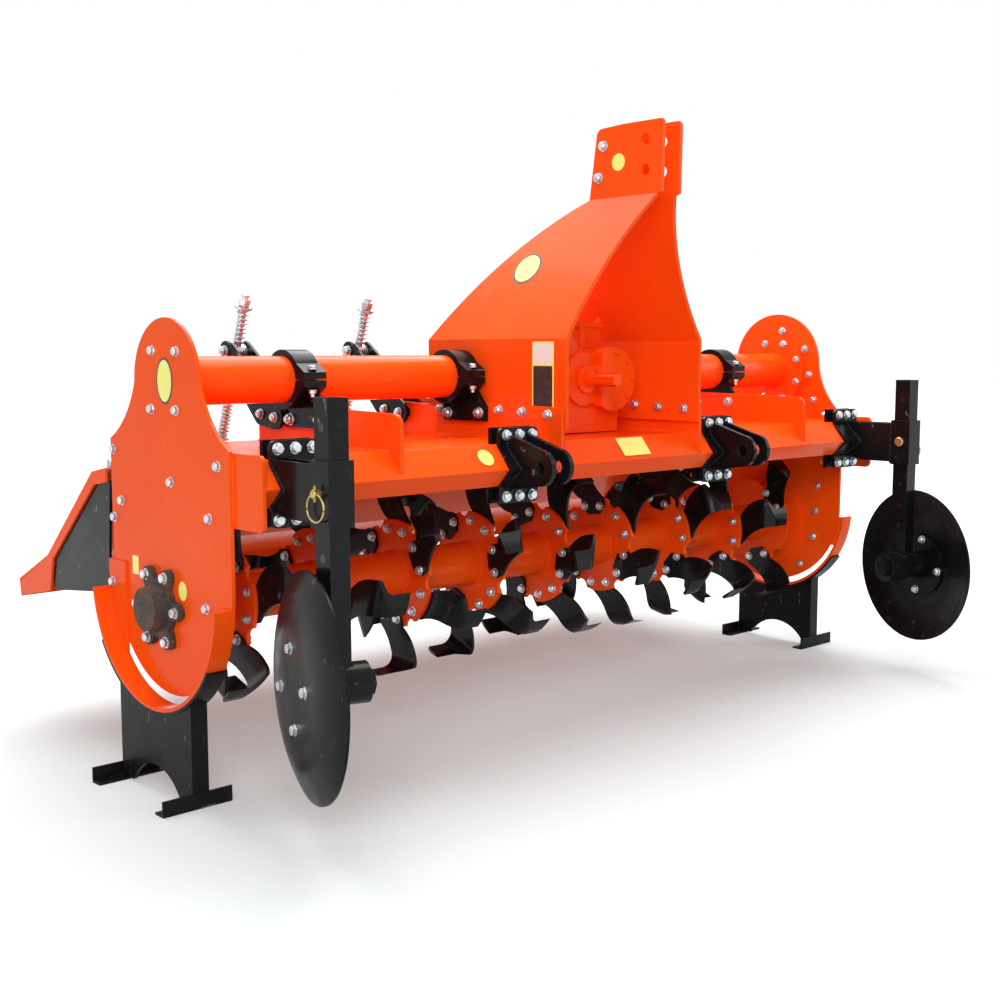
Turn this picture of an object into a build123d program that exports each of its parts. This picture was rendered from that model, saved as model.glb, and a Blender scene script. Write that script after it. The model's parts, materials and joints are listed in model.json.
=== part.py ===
from build123d import *
from math import cos, hypot, radians, sin
import os

os.makedirs("parts", exist_ok=True)

# Frame: X along the rotor (right of the machine seen from the front is -X), -Y toward the tractor,
# Z up from the ground. Side-view sizes (y, z) are measured from the rotor's axis in y.
half_width = 1062.0        # outer faces of the side plates
plate_t = 8.0
sheet_t = 6.0
rib_t = 10.0
lip_y = 757.0              # rear edge of the trailing board
disc_r = 217.0
run_gap = 0.1              # radial clearance of a running fit
side_gap = 8.0             # what moves between the side plates clears them by this

rotor_z = 385.0
rotor_tip_r = 235.0
rotor_tube_r = 55.0
rotor_tube_wall = 8.0
stub_r = 25.0
flange_count = 9
flange_shift = 45.0
flange_pitch = (half_width - 102.0) / 4     # the row of flanges follows the width
flange_t = 10.0
flange_r = 132.0
flange_turn = 17.0         # each flange is turned this much on from its neighbour
notch_r = 22.0
blade_t = 8.0
blade_root_r = 84.0
blade_bolt_r = 110.0
blade_reach = 98.0
blade_w = 78.0
blade_bend_r = 36.0
shank_w = 84.0
blades_per_flange = 6

tube_y, tube_z = -39.0, 859.0
tube_r = 51.0
tube_wall = 6.0
tube_flange_r = 105.0
tube_flange_t = 12.0

shoulder_front = (-278.0, 728.0)
shoulder_rear = (208.0, 732.0)
ear_left_r, ear_left_z = 130.0, 859.0
ear_right_r, ear_right_z = 152.0, 879.0
plate_low_z = 203.0

bar_nose = (-385.0, 660.0)
bar_top_y, deck_z = -341.0, 714.0
bar_back_y = -262.0
bar_low_y, bar_low_z = -347.0, 621.0
end_plate_front_y = -382.0
end_plate_low_z, end_plate_top_z = 578.0, 725.0

deck_rear_y = 150.0
hinge_y, hinge_z = 236.0, 672.0
hinge_pin_r = 10.0
knuckle_r = 16.0
knuckle_len = 60.0
knuckle_pitch = 450.0

rib_top_z = 802.0
rib_front_y = -377.0
rib_rear_y = 146.0
rib_corner = 24.0
outer_rib_x, middle_rib_x = half_width - 347.0, 357.0

mast_x = 239.0             # mid-plane of the lower mast plates
mast_ear_x = 31.0
mast_fold_z = 947.0
mast_ear_z = 1280.0
mast_low_z = 742.0
mast_top_z = 1448.0
mast_t = 10.0
mast_front_y, mast_rear_y = -386.0, 98.0
mast_ear_front_y, mast_ear_rear_y = -484.0, -260.0
mast_ear_corner, mast_ear_step = 18.0, 14.0
top_link_y, top_link_drop = -435.0, 68.0
top_link_z = mast_top_z - 43.0
top_link_r = 13.0

box_front_y, box_rear_y = -200.0, 70.0
box_left_x, box_right_x = -96.0, 150.0
box_low_z, box_high_z = 716.0, 925.0
pto_z = 850.0
pto_r = 17.5
pto_seal_r = 22.0
pto_spline_r = 17.3        # over the splines, a little under the plain land beside them
pto_end_y = -325.0
pto_land = 28.0
pto_nose = 26.0            # how far the cover's nose stands out around the shaft
cover_x = 82.0
cover_r, cover_small_r = 78.0, 66.0

hitch_x_in, hitch_x_out = 334.0, 389.0
hitch_ear_t = 12.0
hitch_y, hitch_z = -454.0, 667.0
hitch_hole_r = 14.5
hitch_ear_r = 40.0
clamp_plate_t = 10.0
bracket_top_z, bracket_low_z = 751.0, 581.0
bracket_land_y = -353.0
bracket_corner = 14.0
hitch_plate_in, hitch_plate_out = 300.0, 420.0
disc_plate_in, disc_plate_out = half_width - 157.0, half_width - 45.0
strip_y = -316.0

leg_x, leg_y = half_width - 64.0, -525.0
leg_w, leg_wall = 45.0, 4.0
leg_low_z, leg_top_z = 340.0, 838.0
sleeve_wall = 6.0
sleeve_low_z, sleeve_top_z = 599.0, 724.0
disc_z = 305.0
disc_toe = 17.5            # both discs face the same way, turned this much from the machine's side
disc_off = 50.0            # rim plane of the disc, outboard of the leg along the hub's axis
disc_depth = 30.0
disc_flat_r = 92.0
disc_t = 5.0
hub_r, axle_r = 40.0, 20.0
hub_in, hub_out = 62.0, 66.0

skid_r = 257.0
skid_y, skid_z = -32.0, 434.0
skid_w, skid_t = 46.0, 8.0
skid_front_z, skid_rear_z = 418.0, 404.0
skid_tab_y, skid_tab_low, skid_tab_high = 148.0, 240.0, 465.0

stand_x = half_width + 38.0
stand_t = 8.0
stand_front_y, stand_rear_y = -180.0, 116.0
stand_top_z = 300.0
stand_spread = 57.0
foot_len, foot_h, foot_t = 158.0, 33.0, 5.0
foot_x = half_width + 32.0

rod_xs = (-outer_rib_x, -middle_rib_x, middle_rib_x, outer_rib_x)
trunnion_y, trunnion_z = 246.0, 920.0
trunnion_r = 17.0
eye_y, eye_z = 334.0, 672.0
rod_r = 9.0
rod_top = 140.0            # length of rod above the trunnion's axis
bracket_gap = 44.0
bracket_t = 8.0

disc_reach = disc_r * cos(radians(disc_toe)) + disc_off * sin(radians(disc_toe))
rotor_y = 0.5 * (disc_reach - leg_y - lip_y)


def side(x):
    return Plane(origin=(x, rotor_y, 0), x_dir=(0, 1, 0), z_dir=(1, 0, 0))


def front(y):
    return Plane(origin=(0, rotor_y + y, 0), x_dir=(1, 0, 0), z_dir=(0, -1, 0))


def level(z):
    return Plane(origin=(0, rotor_y, z))


def bowed(start, end, rise):
    run_y, run_z = end[0] - start[0], end[1] - start[1]
    length = hypot(run_y, run_z)
    mid_y, mid_z = 0.5 * (start[0] + end[0]), 0.5 * (start[1] + end[1])
    mid = (mid_y - rise * run_z / length, mid_z + rise * run_y / length)
    ThreePointArc(start, mid, end)


def save(piece, name):
    piece.part.label = name
    export_step(piece.part, f"parts/{name}.step")


inner_x = half_width - plate_t


# Side plates: round ear over the tube, hollowed flanks, straight edges and a round lower end
def side_plate(hand, ear_r, ear_z, name):
    low_r = 0.5 * (shoulder_rear[0] - shoulder_front[0])
    mid_y = 0.5 * (shoulder_rear[0] + shoulder_front[0])
    with BuildPart() as plate:
        with BuildSketch(side(hand * (half_width - 0.5 * plate_t))):
            with BuildLine():
                ear_front = (tube_y - ear_r, ear_z)
                ear_rear = (tube_y + ear_r, ear_z)
                bowed(shoulder_front, ear_front, -18)
                ThreePointArc(ear_front, (tube_y, ear_z + ear_r), ear_rear)
                bowed(ear_rear, shoulder_rear, -18)
                Line(shoulder_rear, (shoulder_rear[0], plate_low_z + low_r))
                ThreePointArc((shoulder_rear[0], plate_low_z + low_r), (mid_y, plate_low_z),
                              (shoulder_front[0], plate_low_z + low_r))
                Line((shoulder_front[0], plate_low_z + low_r), shoulder_front)
            make_face()
            with Locations((0, rotor_z)):
                Circle(rotor_tube_r, mode=Mode.SUBTRACT)
        extrude(amount=0.5 * plate_t, both=True)
    save(plate, name)


side_plate(-1, ear_left_r, ear_left_z, "side_plate_left")
side_plate(1, ear_right_r, ear_right_z, "side_plate_right")

# End plates that carry the front bar, inside the front edges of the side plates
with BuildPart() as bar_end_plates:
    for hand in (-1, 1):
        with BuildSketch(side(hand * (inner_x - 0.5 * plate_t))):
            mid_y, mid_z = 0.5 * (end_plate_front_y + bar_back_y), 0.5 * (end_plate_low_z + end_plate_top_z)
            with Locations((mid_y, mid_z)):
                RectangleRounded(bar_back_y - end_plate_front_y, end_plate_top_z - end_plate_low_z, 14)
        extrude(amount=0.5 * plate_t, both=True)
save(bar_end_plates, "bar_end_plates")

beam_x = inner_x - plate_t

# Front bar: a closed section folded from plate, with its nose forward
with BuildPart() as front_bar:
    with BuildSketch(side(0)) as bar_section:
        with BuildLine():
            Polyline(bar_nose, (bar_top_y, deck_z), (bar_back_y, deck_z), (bar_back_y, bar_low_z),
                     (bar_low_y, bar_low_z), close=True)
        make_face()
        offset(amount=-sheet_t, kind=Kind.INTERSECTION, mode=Mode.SUBTRACT)
    extrude(amount=beam_x, both=True)
save(front_bar, "front_bar")

# Deck over the rotor, with the knuckles of the trailing board's hinge along its rear edge
knuckle_xs = [(i - 2) * knuckle_pitch for i in range(5)]
with BuildPart() as deck_sheet:
    with BuildSketch(side(0)):
        with BuildLine():
            Polyline((bar_back_y, deck_z), (deck_rear_y, deck_z), (hinge_y - knuckle_r - 3, hinge_z + 12),
                     (hinge_y - knuckle_r - 3, hinge_z + 4), (deck_rear_y - 2, deck_z - sheet_t),
                     (bar_back_y, deck_z - sheet_t), close=True)
        make_face()
    extrude(amount=inner_x, both=True)
    with BuildSketch(*[side(x - 0.5 * knuckle_len) for x in knuckle_xs]):
        with Locations((hinge_y, hinge_z)):
            Circle(knuckle_r)
        with Locations((hinge_y - 0.7 * knuckle_r, hinge_z + 8)):
            Rectangle(1.4 * knuckle_r, 8)
        with Locations((hinge_y, hinge_z)):
            Circle(hinge_pin_r, mode=Mode.SUBTRACT)
    extrude(amount=knuckle_len)
save(deck_sheet, "deck_sheet")

with BuildPart() as hinge_rod:
    with BuildSketch(side(0)):
        with Locations((hinge_y, hinge_z)):
            Circle(hinge_pin_r)
    extrude(amount=inner_x, both=True)
save(hinge_rod, "hinge_rod")


# Upright ribs on the deck, in pairs: two outer, two middle and two beside the mast
mast_rib_x = mast_x + 0.5 * (mast_t + rib_t)
nose_slope = (deck_z - bar_nose[1]) / (bar_top_y - bar_nose[0])
with BuildPart() as deck_ribs:
    for rib_x, nose_y in ((outer_rib_x, rib_front_y), (middle_rib_x, -60.0), (mast_rib_x, bar_nose[0] + 3)):
        for hand in (-1, 1):
            with BuildSketch(side(hand * rib_x)):
                with BuildLine():
                    corners = [(rib_rear_y, deck_z), (rib_rear_y, rib_top_z), (nose_y, rib_top_z - 10)]
                    if nose_y < bar_top_y:
                        corners.append((nose_y, deck_z + (nose_y - bar_top_y) * nose_slope))
                        corners.append((bar_top_y, deck_z))
                    else:
                        corners.append((nose_y, deck_z))
                    Polyline(*corners, close=True)
                make_face()
                fillet(vertices().sort_by(Axis.Y)[-2:], rib_corner)
            extrude(amount=0.5 * rib_t, both=True)
save(deck_ribs, "deck_ribs")

# Main cross tube with its end flanges
with BuildPart() as main_tube:
    with BuildSketch(side(0)):
        with Locations((tube_y, tube_z)):
            Circle(tube_r)
            Circle(tube_r - tube_wall, mode=Mode.SUBTRACT)
    extrude(amount=inner_x, both=True)
    for hand in (-1, 1):
        with BuildSketch(side(hand * (inner_x - 0.5 * tube_flange_t))):
            with Locations((tube_y, tube_z)):
                Circle(tube_flange_r)
                Circle(tube_r - tube_wall, mode=Mode.SUBTRACT)
        extrude(amount=0.5 * tube_flange_t, both=True)
save(main_tube, "main_tube")

# Split clamps that hold the tube on the ribs: a cap and a saddle with a bolted foot
clamp_w, clamp_wall, clamp_split = 58.0, 14.0, 4.0
clamp_half = tube_r + 34.0
clamp_ear_t = 16.0
clamp_flare, clamp_shoulder = tube_r - 1.0, tube_r - 13.0
foot_t_clamp = 14.0
clamp_foot_y = tube_y - 22.0
clamp_faces = [hand * (x + 0.5 * rib_t) for x in (outer_rib_x, mast_rib_x) for hand in (-1, 1)]


def clamp_ears(up):
    half = [(clamp_half, 0), (clamp_half, up * clamp_ear_t), (clamp_flare, up * clamp_shoulder)]
    return [(tube_y + y, tube_z + z) for y, z in half] + [(tube_y - y, tube_z + z) for y, z in half[::-1]]


with BuildPart() as clamp_caps:
    for face_x in clamp_faces:
        hand = 1 if face_x > 0 else -1
        with BuildSketch(side(face_x + hand * 0.5 * clamp_w)):
            with Locations((tube_y, tube_z)):
                Circle(tube_r + clamp_wall)
            with BuildLine():
                Polyline(*clamp_ears(1), close=True)
            make_face()
            with Locations((tube_y, tube_z)):
                Circle(tube_r, mode=Mode.SUBTRACT)
            with Locations((tube_y, tube_z + 0.5 * clamp_split - 100)):
                Rectangle(4 * tube_r, 200, mode=Mode.SUBTRACT)
        extrude(amount=0.5 * clamp_w, both=True)
save(clamp_caps, "clamp_caps")

with BuildPart() as clamp_saddles:
    for face_x in clamp_faces:
        hand = 1 if face_x > 0 else -1
        with BuildSketch(side(face_x + hand * 0.5 * clamp_w)):
            with Locations((tube_y, tube_z)):
                Circle(tube_r + clamp_wall)
            with BuildLine():
                Polyline(*clamp_ears(-1), close=True)
            make_face()
            with Locations((tube_y, tube_z)):
                Circle(tube_r, mode=Mode.SUBTRACT)
            with Locations((tube_y, tube_z - 0.5 * clamp_split + 100)):
                Rectangle(4 * tube_r, 200, mode=Mode.SUBTRACT)
        extrude(amount=0.5 * clamp_w, both=True)
        with BuildSketch(side(face_x + hand * 0.5 * foot_t_clamp)):
            with BuildLine():
                Polyline((clamp_foot_y - 74, 752), (clamp_foot_y + 74, 752), (clamp_foot_y + 74, 786),
                         (tube_y + tube_r, tube_z - 20), (tube_y - tube_r, tube_z - 20),
                         (clamp_foot_y - 74, 786), close=True)
            make_face()
            with Locations((tube_y, tube_z)):
                Circle(tube_r + 1, mode=Mode.SUBTRACT)
        extrude(amount=0.5 * foot_t_clamp, both=True)
save(clamp_saddles, "clamp_saddles")


# Mast: each side is one bent plate, upright at the foot, leaning in, upright again at the ears
def mast_plate(hand, name):
    lean_x = mast_x - mast_ear_x
    lean_z = mast_ear_z - mast_fold_z
    with BuildPart() as plate:
        with BuildSketch(front(0)):
            with BuildLine() as spine:
                Polyline((hand * mast_x, mast_low_z), (hand * mast_x, mast_fold_z),
                         (hand * mast_ear_x, mast_ear_z), (hand * mast_ear_x, mast_top_z))
            trace(lines=spine.line, line_width=mast_t)
        extrude(amount=700, both=True)
        with BuildSketch(side(0)):
            with BuildLine():
                Polyline((mast_rear_y, mast_fold_z), (mast_rear_y, mast_low_z), (mast_front_y, mast_low_z),
                         (mast_front_y, mast_fold_z))
                bowed((mast_front_y, mast_fold_z), (mast_ear_front_y + mast_ear_step, mast_ear_z), -26)
                Polyline((mast_ear_front_y + mast_ear_step, mast_ear_z), (mast_ear_front_y, mast_ear_z + 4),
                         (mast_ear_front_y - 3, mast_top_z + 6), (mast_ear_rear_y - 24, mast_top_z - 4),
                         (mast_ear_rear_y, mast_ear_z))
                bowed((mast_ear_rear_y, mast_ear_z), (mast_rear_y, mast_fold_z), 40)
            make_face()
            fillet(vertices().sort_by(Axis.Y)[-2:], mast_ear_corner)
            with Locations((tube_y, tube_z)):
                Circle(tube_r + 1, mode=Mode.SUBTRACT)
            with Locations((top_link_y, top_link_z), (top_link_y, top_link_z - top_link_drop)):
                Circle(top_link_r, mode=Mode.SUBTRACT)
        extrude(amount=400, both=True, mode=Mode.INTERSECT)
    save(plate, name)


mast_plate(-1, "mast_plate_left")
mast_plate(1, "mast_plate_right")

spacer_places = ((mast_ear_rear_y - 45, 1403), (mast_ear_rear_y - 30, 1330))
with BuildPart() as mast_spacers:
    with BuildSketch(side(0)):
        with Locations(*spacer_places):
            Circle(13)
    extrude(amount=mast_ear_x - 0.5 * mast_t, both=True)
save(mast_spacers, "mast_spacers")

# Gearbox: body on the deck around the tube, ribbed lid, and the double-round front cover
box_corner, lid_rise, lid_len = 18.0, 50.0, 132.0
lid_left_x, lid_right_x = box_left_x + 14, 44.0
lid_y = box_front_y + 16 + 0.5 * lid_len
boss_r = 10.0
lid_boss_xs = (lid_left_x + 32, lid_right_x - 14)
lid_boss_ys = (lid_y - 0.5 * lid_len + boss_r, lid_y + 0.5 * lid_len - boss_r)
with BuildPart() as gearbox_housing:
    with BuildSketch(level(box_low_z)):
        with Locations((0.5 * (box_left_x + box_right_x), 0.5 * (box_front_y + box_rear_y))):
            RectangleRounded(box_right_x - box_left_x, box_rear_y - box_front_y, box_corner)
    extrude(amount=box_high_z - box_low_z)
    with BuildSketch(level(box_high_z)):
        with Locations((0.5 * (lid_left_x + lid_right_x), lid_y)):
            RectangleRounded(lid_right_x - lid_left_x, lid_len, box_corner)
    extrude(amount=lid_rise, taper=5)
    with BuildSketch(level(box_high_z)):
        with Locations((lid_boss_xs[0], lid_y)):
            Rectangle(12, lid_len)
        with Locations(*[(x, y) for x in lid_boss_xs for y in lid_boss_ys]):
            Circle(boss_r)
    extrude(amount=lid_rise + 8)
    with BuildSketch(side(0)):
        with Locations((tube_y, tube_z)):
            Circle(tube_r + 0.2)
    extrude(amount=box_right_x - box_left_x, both=True, mode=Mode.SUBTRACT)
save(gearbox_housing, "gearbox_housing")

cover_plate_t = 14.0
with BuildPart() as gearbox_cover:
    with BuildSketch(front(box_front_y)):
        with Locations((cover_x, pto_z)):
            Circle(cover_r)
        with Locations((0, pto_z)):
            Circle(cover_small_r)
        with Locations((0.5 * cover_x, pto_z)):
            Rectangle(cover_x, 70)
        with Locations((0, pto_z)):
            Circle(pto_seal_r + run_gap, mode=Mode.SUBTRACT)
    extrude(amount=cover_plate_t)
    with BuildSketch(front(box_front_y - cover_plate_t)):
        with Locations((cover_x, pto_z)):
            Circle(cover_r - 20)
    extrude(amount=22, taper=8)
    with BuildSketch(front(box_front_y - cover_plate_t)):
        with Locations((cover_x, pto_z)):
            with PolarLocations(cover_r - boss_r, 5, start_angle=-85, angular_range=170, endpoint=True):
                Circle(boss_r)
    extrude(amount=8)
    with BuildSketch(front(box_front_y - cover_plate_t)):
        with Locations((0, pto_z)):
            Circle(34)
            Circle(pto_seal_r + run_gap, mode=Mode.SUBTRACT)
    extrude(amount=pto_nose - cover_plate_t)
save(gearbox_cover, "gearbox_cover")

# Input shaft: six splines and a plain land beside the cover
with BuildPart() as pto_shaft:
    with BuildSketch(front(box_front_y)):
        with Locations((0, pto_z)):
            Circle(pto_seal_r)
    extrude(amount=pto_nose)
    with BuildSketch(front(box_front_y - pto_nose)):
        with Locations((0, pto_z)):
            Circle(pto_r)
    extrude(amount=pto_land)
    with BuildSketch(front(box_front_y - pto_nose - pto_land)):
        with Locations((0, pto_z)):
            Circle(pto_spline_r)
            with PolarLocations(pto_spline_r, 6):
                Rectangle(6, 9, mode=Mode.SUBTRACT)
    extrude(amount=box_front_y - pto_nose - pto_land - pto_end_y)
save(pto_shaft, "pto_shaft")


# Brackets clamped on the bar: a plate folded round the nose and flat strips behind it
nose_inner_y = bracket_land_y + clamp_plate_t
nose_root = [(bracket_land_y, deck_z - 9), (bar_nose[0] - 13.8, bar_nose[1]), (bracket_land_y, bar_low_z + 2)]
nose_seat = [(nose_inner_y, deck_z + 1.5), (bar_nose[0] - 0.3, bar_nose[1]), (nose_inner_y, bar_low_z - 7)]
nose_outline = [(nose_inner_y, bracket_top_z), *nose_seat, (nose_inner_y, bracket_low_z),
                (bracket_land_y, bracket_low_z), *nose_root[::-1], (bracket_land_y, bracket_top_z)]


def round_corners(plate_edges):
    levels = plate_edges.filter_by(Axis.Y).group_by(Axis.Z)
    fillet(levels[0] + levels[-1], bracket_corner)


def hitch_bracket(hand, name):
    with BuildPart() as bracket:
        with BuildSketch(side(hand * 0.5 * (hitch_plate_in + hitch_plate_out))):
            with BuildLine():
                Polyline(*nose_outline, close=True)
            make_face()
        extrude(amount=0.5 * (hitch_plate_out - hitch_plate_in), both=True)
        round_corners(edges())
        for ear_x in (hitch_x_in, hitch_x_out):
            with BuildSketch(side(hand * ear_x)):
                with BuildLine():
                    Polyline((bracket_land_y, 738), *nose_root, (bracket_land_y, 612),
                             (hitch_y - 2, hitch_z - hitch_ear_r), (hitch_y - 2, hitch_z + hitch_ear_r),
                             close=True)
                make_face()
                with Locations((hitch_y, hitch_z)):
                    Circle(hitch_ear_r)
                    Circle(hitch_hole_r, mode=Mode.SUBTRACT)
            extrude(amount=0.5 * hitch_ear_t, both=True)
    save(bracket, name)


hitch_bracket(-1, "hitch_bracket_left")
hitch_bracket(1, "hitch_bracket_right")


def disc_bracket(hand, name):
    sleeve_w = leg_w + 2 * sleeve_wall + 1
    sleeve_rear_y = leg_y + 0.5 * sleeve_w
    with BuildPart() as bracket:
        with BuildSketch(side(hand * 0.5 * (disc_plate_in + disc_plate_out))):
            with BuildLine():
                Polyline(*nose_outline, close=True)
            make_face()
        extrude(amount=0.5 * (disc_plate_out - disc_plate_in), both=True)
        round_corners(edges())
        for wall_x in (leg_x - 0.5 * sleeve_w + 4, leg_x + 0.5 * sleeve_w - 14):
            with BuildSketch(side(hand * wall_x)):
                with BuildLine():
                    Polyline((bracket_land_y, 715), *nose_root, (bracket_land_y, 615),
                             (bar_nose[0] - 20, 606), (sleeve_rear_y, 606), (sleeve_rear_y, 715), close=True)
                make_face()
            extrude(amount=4, both=True)
        with BuildSketch(level(sleeve_low_z)):
            with Locations((hand * leg_x, leg_y)):
                Rectangle(sleeve_w, sleeve_w)
                Rectangle(leg_w + 1, leg_w + 1, mode=Mode.SUBTRACT)
        extrude(amount=sleeve_top_z - sleeve_low_z)
    save(bracket, name)


disc_bracket(-1, "disc_bracket_left")
disc_bracket(1, "disc_bracket_right")

with BuildPart() as bracket_strips:
    for near_x, far_x in ((hitch_plate_in, hitch_plate_out), (disc_plate_in, disc_plate_out)):
        for hand in (-1, 1):
            with BuildSketch(front(strip_y)):
                with Locations((hand * 0.5 * (near_x + far_x), 0.5 * (bracket_top_z + deck_z))):
                    Rectangle(far_x - near_x, bracket_top_z - deck_z)
                with Locations((hand * 0.5 * (near_x + far_x), 0.5 * (bracket_low_z + bar_low_z))):
                    Rectangle(far_x - near_x, bar_low_z - bracket_low_z)
            extrude(amount=clamp_plate_t)
save(bracket_strips, "bracket_strips")


# Disc legs: square tube pinned in the sleeve, with the hub's tube welded across its foot
def hub_plane(hand, along):
    out_x, out_y = hand * cos(radians(disc_toe)), -hand * sin(radians(disc_toe))
    origin = (hand * leg_x + along * out_x, rotor_y + leg_y + along * out_y, disc_z)
    return Plane(origin=origin, x_dir=(-out_y, out_x, 0), z_dir=(out_x, out_y, 0))


def disc_leg(hand, name):
    with BuildPart() as leg:
        with BuildSketch(level(leg_low_z)):
            with Locations((hand * leg_x, leg_y)):
                Rectangle(leg_w, leg_w)
                Rectangle(leg_w - 2 * leg_wall, leg_w - 2 * leg_wall, mode=Mode.SUBTRACT)
        extrude(amount=leg_top_z - leg_low_z)
        with BuildSketch(hub_plane(hand, -hub_in)):
            Circle(hub_r)
        extrude(amount=hub_in + hub_out)
        with BuildSketch(hub_plane(hand, -hub_in)):
            RegularPolygon(26, 6)
        extrude(amount=-12)
        with BuildSketch(hub_plane(hand, -hub_in + 10)):
            Circle(axle_r + run_gap)
        extrude(amount=hub_in + hub_out, mode=Mode.SUBTRACT)
    save(leg, name)


disc_leg(-1, "disc_leg_left")
disc_leg(1, "disc_leg_right")


# Discs: dished plates with a flat centre, hollow side inboard, and flanged axles
disc_apex = disc_off + disc_depth


def disc(hand, name):
    hub = hub_plane(hand, 0)
    ball_r = ((disc_r - disc_flat_r) ** 2 + disc_depth ** 2) / (2 * disc_depth)
    mid_r = 0.5 * (disc_r + disc_flat_r)
    mid_a = disc_apex - ball_r + (ball_r ** 2 - (mid_r - disc_flat_r) ** 2) ** 0.5
    with BuildPart() as dish:
        with BuildSketch(Plane(origin=hub.origin, x_dir=hub.x_dir, z_dir=hub.x_dir.cross(hub.z_dir))):
            with BuildLine():
                Polyline((0, disc_apex - disc_t), (0, disc_apex), (disc_flat_r, disc_apex))
                ThreePointArc((disc_flat_r, disc_apex), (mid_r, mid_a), (disc_r, disc_off))
                Line((disc_r, disc_off), (disc_r, disc_off - disc_t))
                ThreePointArc((disc_r, disc_off - disc_t), (mid_r, mid_a - disc_t),
                              (disc_flat_r, disc_apex - disc_t))
                Line((disc_flat_r, disc_apex - disc_t), (0, disc_apex - disc_t))
            make_face()
        revolve(axis=Axis(hub.origin, hub.z_dir))
    save(dish, f"disc_{name}")
    with BuildPart() as axle:
        with BuildSketch(hub_plane(hand, -hub_in + 14)):
            Circle(axle_r)
        extrude(amount=hub_in - 14 + disc_apex - disc_t)
        with BuildSketch(hub_plane(hand, hub_out + 2)):
            Circle(disc_flat_r - 4)
        extrude(amount=disc_apex - disc_t - hub_out - 2)
    save(axle, f"disc_axle_{name}")


disc(-1, "left")
disc(1, "right")

# Rotor: tube with six-lobed flanges, stub shafts at its ends
flange_xs = [flange_shift + (i - (flange_count - 1) / 2) * flange_pitch for i in range(flange_count)]
rotor_left_x, rotor_right_x = -inner_x + 34, flange_xs[-1] + 0.5 * flange_t
with BuildPart() as rotor_shaft:
    with BuildSketch(side(rotor_left_x)):
        with Locations((0, rotor_z)):
            Circle(rotor_tube_r)
    extrude(amount=rotor_right_x - rotor_left_x)
    for i, flange_x in enumerate(flange_xs):
        with BuildSketch(side(flange_x)):
            with Locations((0, rotor_z)):
                Circle(flange_r)
                with PolarLocations(flange_r + 8, blades_per_flange, start_angle=flange_turn * i + 30):
                    Circle(notch_r, mode=Mode.SUBTRACT)
        extrude(amount=0.5 * flange_t, both=True)
    with BuildSketch(side(-half_width - 34)):
        with Locations((0, rotor_z)):
            Circle(stub_r)
    extrude(amount=2 * half_width + 68)
save(rotor_shaft, "rotor_shaft")


# One blade: a wide shank lies on the flange, narrows, sweeps back and turns sideways into the leaf
def blade(face_x, hand, angle):
    tangent = Vector(0, sin(radians(angle)), -cos(radians(angle)))
    radial = Vector(0, cos(radians(angle)), sin(radians(angle)))
    flat = Plane(origin=(face_x, rotor_y, rotor_z), x_dir=tangent, z_dir=(1, 0, 0))
    across = Plane(origin=flat.origin, x_dir=(1, 0, 0), z_dir=Vector(1, 0, 0).cross(radial))
    above = Plane(origin=flat.origin, x_dir=tangent, z_dir=radial)
    reach_r = rotor_tip_r - 3 - 0.5 * blade_t
    near = hand * 0.5 * blade_t
    past_tip = rotor_tip_r + 20
    half_shank = 0.5 * shank_w
    leaf_start = 20.0
    leaf_end = leaf_start + blade_w
    with BuildPart(mode=Mode.PRIVATE) as strip:
        with BuildSketch(across):
            with BuildLine() as bend:
                FilletPolyline((near, blade_root_r), (near, reach_r), (hand * blade_reach, reach_r),
                               radius=blade_bend_r)
            trace(lines=bend.line, line_width=blade_t)
        extrude(amount=120, both=True)
        with BuildSketch(flat):
            with BuildLine():
                Polyline((half_shank - 22, blade_root_r), (22 - half_shank, blade_root_r),
                         (-half_shank, blade_bolt_r), (-half_shank + 5, blade_bolt_r + 20))
                bowed((-half_shank + 5, blade_bolt_r + 20), (leaf_start, past_tip), -18)
                Line((leaf_start, past_tip), (leaf_end, past_tip))
                bowed((leaf_end, past_tip), (half_shank, blade_bolt_r + 14), 26)
                Polyline((half_shank, blade_bolt_r + 14), (half_shank, blade_bolt_r),
                         (half_shank - 22, blade_root_r))
            make_face()
        extrude(amount=2 * blade_reach, both=True, mode=Mode.INTERSECT)
        with BuildSketch(above):
            with BuildLine():
                Polyline((-half_shank - 10, hand * blade_t), (-half_shank - 10, -hand * 0.7 * blade_reach),
                         (leaf_start, -hand * (blade_reach - 18)), (leaf_end + 10, -hand * (blade_reach + 2)),
                         (leaf_end + 10, hand * blade_t), close=True)
            make_face()
        extrude(amount=2 * rotor_tip_r, mode=Mode.INTERSECT)
        with BuildSketch(flat):
            Circle(rotor_tip_r)
        extrude(amount=2 * blade_reach, both=True, mode=Mode.INTERSECT)
    return strip.part


for hand, name in ((-1, "blades_left_hand"), (1, "blades_right_hand")):
    with BuildPart() as blades:
        for i, flange_x in enumerate(flange_xs):
            if hand == 1 and i == flange_count - 1:
                continue
            for k in range(blades_per_flange // 2):
                angle = flange_turn * i + 120 * k + (60 if hand == 1 else 0)
                add(blade(flange_x + hand * 0.5 * flange_t, hand, angle))
    save(blades, name)

# Bearings: plates and bosses inside the side plates, the cast cover on the left, the drive case on the right
ring_t, ring_r = 10.0, 150.0
boss_r, boss_len = 72.0, 14.0
with BuildPart() as bearing_rings:
    for hand in (-1, 1):
        with BuildSketch(side(hand * inner_x)):
            with Locations((0, rotor_z)):
                Circle(ring_r)
                Circle(rotor_tube_r, mode=Mode.SUBTRACT)
        extrude(amount=-hand * ring_t)
        with BuildSketch(side(hand * (inner_x - ring_t))):
            with Locations((0, rotor_z)):
                Circle(boss_r)
                Circle(stub_r + 1, mode=Mode.SUBTRACT)
        extrude(amount=-hand * boss_len)
save(bearing_rings, "bearing_rings")

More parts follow.
